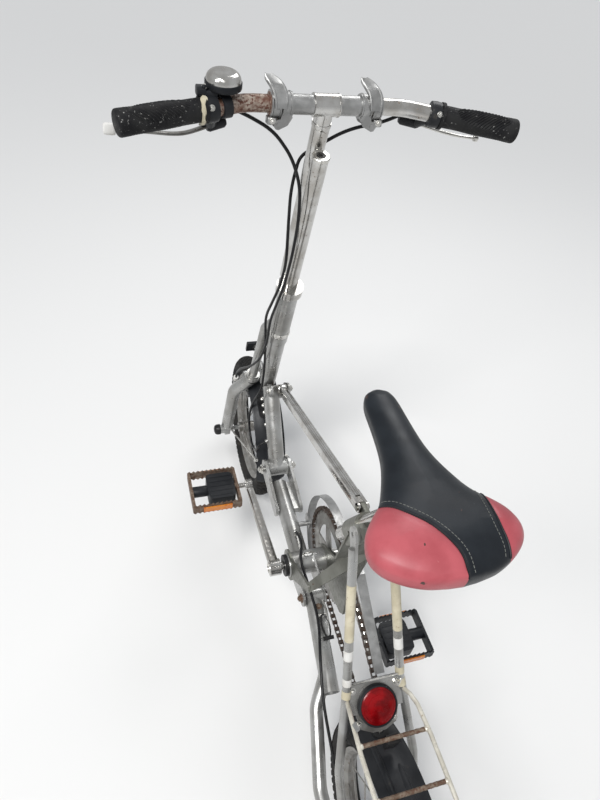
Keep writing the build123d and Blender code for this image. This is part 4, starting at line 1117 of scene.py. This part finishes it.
def make_saddle_frame():
    """Moulded pan, two bent rails and the clamp head under the saddle."""
    piece = Piece("saddle_rails", ["black_plastic", "black_metal", "bright_steel"])
    rows = []
    for drop, inset in ((20.8, 16), (22.6, 15.2), (24.4, 17.5)):
        row = []
        for x, y in even_ring(SADDLE_RING, 120):
            p = drawn_in(x, y, inset, 0.9)
            row.append(Vector((p.x, p.y, rim_height(y) - drop)))
        rows.append(row)
    piece.rings(rows[::-1], 0)
    post = Vector((0, -432.2, 724.2))
    for side in (-1, 1):
        rail = [(side * 4, -330, 743), (side * 5, -346, 738), (side * 8, -372, 729), (side * 15, -406, 716),
                (side * 20, -440, 711), (side * 21, -478, 712), (side * 27, -508, 719),
                (side * 33, -526, 730)]
        piece.tube(curve_points(rail, 6), 3.5, 14, 1)
        piece.lathe((side * 4, -330, 740), (0, 0, 1), [(0, 4), (4, 5)], 16, 0)
        piece.lathe((side * 33, -526, 726), (0, 0, 1), [(0, 5), (7, 6.5)], 16, 0)
    lift = Vector((0, -0.469, 0.883)).normalized()
    piece.lathe(post - lift * 29, lift, [(0, 17), (1.5, 18.6), (22, 18.6), (26, 16), (27, 10)], 32, 1, False)
    piece.lathe((-28, post.y, 713), (1, 0, 0), [(0, 7.5), (1.5, 9), (54.5, 9), (56, 7.5)], 24, 1)
    for side in (-1, 1):
        piece.lathe((side * 15, post.y, 712), (side, 0, 0), [(0, 12), (1.2, 13), (10, 13), (12, 11)], 24, 1)
        piece.bolt((side * 27.5, post.y, 713), (side, 0, 0), 6, 2)
    piece.done("saddle", ("saddle_frame",))


def make_frame_trim():
    """Open tube end, pin heads, bearing ring, cable loop and crank caps."""
    piece = Piece("front_frame_trim", ["rusty_steel", "bright_steel", "silver_paint"])
    top = Vector((3, 138, 395.7))
    along = (Vector((0, *H1)) - top).normalized()
    piece.lathe(top, along, [(0.6, 14.9), (0.8, 14.2), (40, 14.2), (40.4, 0.5)], 40, 0, False)
    piece.lathe(top, along, [(0.4, 14.6), (-0.5, 15.2), (-0.5, 16.8), (0.6, 17.3), (1.6, 17.2)], 40, 1, False)
    for side in (-1, 1):
        x = 34 if side > 0 else -7
        piece.bolt((x, *TIE_FRONT), (side, 0, 0), 6, 1)
        piece.rings([[wheel_point(H1, side * (17 + h), r + 0.25 * math.sin(9 * t + side), t)
                      for t in round_angles(40)]
                     for h, r in ((0, 17.1), (1.2, 18.4), (3.2, 18.6), (4.4, 17.1))], 2)
    piece.done("front_frame")

    piece = Piece("mid_frame_trim", ["bright_steel", "black_metal", "rusty_steel", "silver_paint"])
    for side in (-1, 1):
        piece.bolt((side * 32.5, *H1), (side, 0, 0), 7, 0)
    piece.lathe((-42.2, *BB), (-1, 0, 0), [(0, 20.6), (5, 20.6), (6.6, 19.2), (6.6, 11)], 12, 1, False)
    piece.lathe((7.2, *H2), (1, 0, 0), [(0, 6.6), (1.2, 6.6), (2.2, 5.2), (2.7, 1.2)], 24, 2)
    piece.bolt((-34.4, *H2), (-1, 0, 0), 5.5, 2)
    piece.lathe((-6, -149.5, 269), (0, -0.9, 0.5), [(-2, 4.6), (0, 5), (3, 4.6), (4, 3.4)], 16, 3)
    half_turn = [math.pi * k / 14 for k in range(15)]
    loop = [(-2 + 9.5 * math.cos(t), -214 - 3 * math.sin(t), 291.5 + 8 * math.sin(t)) for t in half_turn]
    piece.tube(loop, 1.5, 8, 0)
    piece.rings([[wheel_point(BB, x, r, a) for a in round_angles(40)]
                 for x, r in ((-41.5, 21.6), (-40.6, 22.3), (-39.9, 22.3))], 3)
    piece.done("mid_frame")

    piece = Piece("crank_caps", ["bright_steel"])
    for x, side in ((-76, -1), (70, 1)):
        piece.lathe((x, *BB), (side, 0, 0),
                    [(-0.4, 11), (1.2, 10.6), (2, 9), (2, 7.4), (0.6, 7.2), (0.6, 0.5)], 28, 0)
    piece.done("crank")


STAY_PATH = ((29, -390, 582), (41, -495, 395), (59, -568, 288))


def stay_point(side, t):
    a, b, c = [Vector((side * x, y, z)) for x, y, z in STAY_PATH]
    return a + (b - a) * t if t <= 1 else b + (c - b) * (t - 1)


def make_labels():
    """Bare cream and white plates wrapped round the stays where stickers were."""
    piece = Piece("stay_labels", ["cream_label", "white_plastic"])
    for side, spans in ((-1, ((0.245, 0.645, 0), (0.715, 0.785, 1), (0.925, 0.978, 1), (1.03, 1.12, 0))),
                        (1, ((0.25, 0.64, 0), (0.70, 0.782, 1), (0.925, 0.978, 0), (1.03, 1.12, 0)))):
        for t0, t1, mat in spans:
            p = stay_point(side, t0)
            q = stay_point(side, t1)
            w = (q - p).normalized()
            u = Vector((0, -w.z, w.y))
            u = (u - w * u.dot(w)).normalized()
            if u.y > 0:
                u = -u
            v = w.cross(u)
            rows = []
            n = 26
            for i in range(n + 1):
                t = i / n
                end = 1.0 if 0.03 < t < 0.97 else 0.86
                row = []
                for layer in (6.82, 6.45):
                    span = [j / 16 for j in range(17)]
                    for g in (span if layer > 6.6 else reversed(span)):
                        a = math.radians(-118 + 236 * g) * end
                        row.append(p + (q - p) * t + (u * math.cos(a) + v * math.sin(a)) * layer)
                rows.append(row)
            piece.rings(rows, mat)
    piece.done("rear_stays")


def on_reflector(out, up, x=0.0):
    """Point in the tilted plane of the rear reflector."""
    a = math.radians(48)
    normal = Vector((0, -math.cos(a), math.sin(a)))
    rise = Vector((0, math.sin(a), math.cos(a)))
    return Vector((x, -519, 373)) + normal * out + rise * up


def make_reflector():
    """Red lens with its rings, and the bent bracket that holds it on the rack."""
    piece = Piece("reflector_lens", ["red_lens", "black_plastic"])
    normal = on_reflector(1, 0) - on_reflector(0, 0)
    rise = on_reflector(0, 1) - on_reflector(0, 0)
    base = on_reflector(0, 0)
    piece.lathe(base, normal,
                [(0, 28), (0, 29.5), (6.5, 29.5), (8.2, 29), (9.0, 28), (9.0, 26.6), (7.2, 26.2)], 64, 1)
    piece.lathe(base, normal, [(6.8, 26.4), (8.2, 26), (9.2, 24.6), (9.8, 18), (10.1, 9), (10.2, 0.4)], 64, 0)
    for ring_r, lift in ((8, 10.15), (16, 9.95), (23, 9.4)):
        circle = [on_reflector(lift, ring_r * math.sin(t), ring_r * math.cos(t)) for t in round_angles(48)]
        piece.tube(circle, 0.35, 6, 0, False, True)
    piece.done("rear_stays", ("rear_reflector",))

    piece = Piece("reflector_bracket", ["bare_steel", "bright_steel", "grey_alloy"])
    outline = ((33, -34), (33, 34), (8, 37), (-30, 27), (-38, 10), (-38, -10), (-30, -27), (8, -37))
    piece.slab([on_reflector(-3.1, up, x) for up, x in outline], normal * 2.2, 0)
    flange = ((-3.4, 33.5, -34), (-3.4, 33.5, 34), (11, 37.5, 33), (11, 37.5, -33))
    piece.slab([on_reflector(*corner) for corner in flange], rise * 1.8, 2)
    piece.tube([on_reflector(11, 39, -34 + 68 * k / 16) for k in range(17)], 1.3, 8, 1)
    for x, up in ((-30, -22), (24, -24), (-33, 25), (33, 25)):
        piece.bolt(on_reflector(-1.0, up, x), normal, 3.6, 1)
    piece.tube([(43.5, -500, 393), (38, -503, 399), (33, -508, 400), (29, -511, 399)], 1.6, 8, 1)
    piece.slab([(-52, -545, 401), (-46, -542, 401), (-43, -553, 401.5), (-49, -556, 401.5)], (0, 0, 1.5), 2)
    piece.done("rear_stays")


RACK_WIRE_Z = 397


def make_rack_trim():
    """Rusty cross wires of the rack with their welds."""
    piece = Piece("rack_crosswires", ["rusty_steel", "cream_wire"])
    for y in (-572, -636, -700, -758):
        rows = []
        for i in range(41):
            x = -48 + 96 * i / 40
            r = 3.05 + 0.14 * math.sin(i * 1.7) + 0.1 * math.sin(i * 4.3 + y)
            rows.append([wheel_point((y, RACK_WIRE_Z), x, r, a) for a in round_angles(14)])
        piece.rings(rows, 0)
        for side in (-1, 1):
            piece.lathe((side * 49.3, y, RACK_WIRE_Z), (-side, 0, 0),
                        [(0, 4.1), (1.6, 4.3), (3.4, 3.6), (4.2, 3.0)], 16, 1)
    piece.done("rear_stays")


def make_arm_trim():
    """Latch: an oval link on the rear arm with its spring wire."""
    piece = Piece("arm_latch", ["black_metal", "bright_steel", "rusty_steel"])
    mid = Vector((-10, -352, 279))
    oval = [mid + Vector((6.5 * math.cos(t), 19 * math.sin(t), 4 + 3.4 * math.sin(t)))
            for t in round_angles(28)]
    piece.tube(oval, 1.7, 8, 0, False, True)
    piece.lathe((-19, -333, 283.5), (1, 0, 0), [(0, 3.6), (18, 3.6)], 16, 1)
    piece.lathe((-19, -371, 277), (1, 0, 0), [(0, 3.2), (18, 3.2)], 16, 0)
    piece.tube([(-3, -309, 288), (-2, -325, 288), (-3, -340, 285), (-5, -356, 281)], 2.2, 10, 1)
    piece.bolt((-13, -318, 288.6), (0, 0.12, 1), 3.8, 2)
    piece.done("rear_arm")


PEDAL_HUB = 28


def make_pedal_trim():
    """Tread blocks, hubs and amber lenses of the pedals."""
    for side, body, centre, at_x in ((-1, "pedal_left", PEDAL_L, -152), (1, "pedal_right", PEDAL_R, 140)):
        piece = Piece(body + "_block", ["black_plastic", "amber"])
        inner = at_x - side * 38
        outer = at_x + side * 14
        x0 = min(inner, outer)
        x1 = max(inner, outer)
        mid_x = (x0 + x1) / 2
        half_x = (x1 - x0) / 2
        shares = [boxy(t, 0.3) for t in round_angles(24)]
        piece.rings([[(mid_x + half_x * grow * cx, centre[0] + 30 * grow * cy, centre[1] + h)
                      for cx, cy in shares]
                     for h, grow in ((-12.5, 0.95), (-12, 1), (12, 1), (12.5, 0.95))], 0)
        for lift, high in ((-12.2, -1.4), (11, 2.2)):
            for i in range(5):
                y = centre[0] - 22 + 11 * i
                bar = [(x0 + 5, y - 2.4), (x1 - 5, y - 2.4), (x1 - 5, y + 2.4), (x0 + 5, y + 2.4)]
                piece.slab([(x, yy, centre[1] + lift) for x, yy in bar], (0, 0, high), 0)
        piece.lathe((min(outer, outer + side * PEDAL_HUB), *centre), (1, 0, 0),
                    [(0, 10), (2, 10.6), (PEDAL_HUB - 2, 10.6), (PEDAL_HUB, 10)], 24, 0)
        for end in (-1, 1):
            y = centre[0] + end * 42.4
            lens = [(at_x + dx, y, centre[1] + dz) for dx, dz in ((-27, -6), (27, -6), (27, 6), (-27, 6))]
            piece.slab(lens, (0, end * 2.4, 0), 1)
        piece.done(body)


make_bell()
make_bar_trim()
make_clamps()
make_stem_trim()
make_fork_trim()
make_fenders()
make_tie()
make_saddle_frame()
make_frame_trim()
make_labels()
make_reflector()
make_rack_trim()
make_arm_trim()
make_pedal_trim()
give("pedal_left", "rusty_steel")

# Brake cables: the corners of their runs, as in the solids
CABLE_R = 2.5
FRONT_RUN = [(-147.3, 42, 989.2), (-132, 42.4, 991.8), (-106, 36, 984), (-66, 36, 964), (-34, 40, 925),
             st(-22, -4, 115), st(-20, -20, 160), st(-19, -25, 222), st(-22, -28, 296), st(-27, -25, 345),
             st(-30, -17, 400), st(-27, -19, 455), st(-31, -14, 520), st(-42, 6, 575), st(-52, 38, 625),
             st(-54, 52, 660), st(-54, 53, 685.7)]
REAR_RUN = [(147.3, 42, 989.2), (132, 42.4, 991.8), (96, 44, 975), (48, 52, 962), (6, 64, 931),
            st(-14, 45, 100), st(-25, 25, 140), st(-26, 2, 190), st(-25, -22, 250), st(-28, -24, 300),
            st(-33, -17, 350), st(-36, -6, 400), st(-29, -8, 455), st(-22, -12, 520), st(-20, -19, 560),
            (-24, 112, 417), (-30, 116, 394), (-34, 143, 343), (-35.5, 152, 291), (-35, 137, 262),
            (-35, 108, 249), (-35.5, 80, 262), (-36, 62, 286), (-33, 57.9, 301.8), (-20.4, 60.4, 306.35)]
LOWER_RUN = [(-6, -150, 271), (-6, -185, 290), (-24, -232, 303), (-24, -285, 306), (-22, -345, 296),
             (-36, -400, 290), (-46, -460, 262), (-45, -520, 225), (-44, -575, 197), (-44, -592.6, 192)]


def rounded(corners, steps=7):
    """Line through corners with each corner eased over almost half its shorter side."""
    pts = [Vector(q) for q in corners]
    out = [pts[0]]
    for before, at, after in zip(pts, pts[1:], pts[2:]):
        cut = 0.47 * min((before - at).length, (after - at).length)
        a = at + (before - at).normalized() * cut
        b = at + (after - at).normalized() * cut
        for k in range(steps + 1):
            t = k / steps
            out.append(a * (1 - t) ** 2 + at * (2 * t * (1 - t)) + b * t * t)
    return out + [pts[-1]]


def make_cable(name, run):
    piece = Piece(name + "_cable_run", ["housing"])
    piece.tube(rounded(run), CABLE_R, 14)
    obj = piece.done(None, (name + "_brake_cable",))
    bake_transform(obj)


make_cable("front", FRONT_RUN)
make_cable("rear", REAR_RUN)
make_cable("lower", LOWER_RUN)

# Floor, lights and world
floor_mat, floor_shader = new_material("floor")
floor_shader.inputs["Base Color"].default_value = (0.78, 0.77, 0.75, 1)
floor_shader.inputs["Roughness"].default_value = 0.9
floor_mesh = bpy.data.meshes.new("floor")
FLOOR = 15.0
FLOOR_Z = -0.7805
corners = [(x * FLOOR, y * FLOOR, FLOOR_Z) for x, y in ((-1, -1), (1, -1), (1, 1), (-1, 1))]
floor_mesh.from_pydata(corners, [], [(0, 1, 2, 3)])
floor_mesh.materials.append(floor_mat)
floor = bpy.data.objects.new("floor", floor_mesh)
bpy.context.collection.objects.link(floor)

world = bpy.data.worlds.new("world")
bpy.context.scene.world = world
world.use_nodes = True
tree = world.node_tree
back = tree.nodes["Background"]
back.inputs["Color"].default_value = (0.80, 0.86, 0.95, 1)
back.inputs["Strength"].default_value = 0.36
seen = tree.nodes.new("ShaderNodeBackground")
seen.inputs["Color"].default_value = (0.80, 0.81, 0.82, 1)
seen.inputs["Strength"].default_value = 0.72
path = tree.nodes.new("ShaderNodeLightPath")
rays = path.outputs["Is Camera Ray"]
for ray in ("Is Glossy Ray", "Is Transmission Ray"):
    either = tree.nodes.new("ShaderNodeMath")
    either.operation = "MAXIMUM"
    tree.links.new(rays, either.inputs[0])
    tree.links.new(path.outputs[ray], either.inputs[1])
    rays = either.outputs[0]
choose = tree.nodes.new("ShaderNodeMixShader")
tree.links.new(rays, choose.inputs[0])
tree.links.new(back.outputs[0], choose.inputs[1])
tree.links.new(seen.outputs[0], choose.inputs[2])
tree.links.new(choose.outputs[0], tree.nodes["World Output"].inputs["Surface"])


def add_light(name, kind, power, towards):
    data = bpy.data.lights.new(name, kind)
    data.energy = power
    light = bpy.data.objects.new(name, data)
    bpy.context.collection.objects.link(light)
    light.rotation_euler = towards.to_track_quat("-Z", "Y").to_euler()
    return light


add_light("sky", "SUN", 2.0, Vector((0.36, 0.42, -0.83))).data.angle = math.radians(16)
LIT_POINT = Vector((0, 0, -0.35))
for name, at, size, power in (("side", (-1.5, -0.5, 1.3), 0.5, 15), ("rim", (0.9, 1.6, 1.5), 0.9, 14),
                              ("streak", (-0.6, -1.0, 1.6), 0.45, 9)):
    light = add_light(name, "AREA", power, LIT_POINT - Vector(at))
    light.data.size = size
    light.location = at
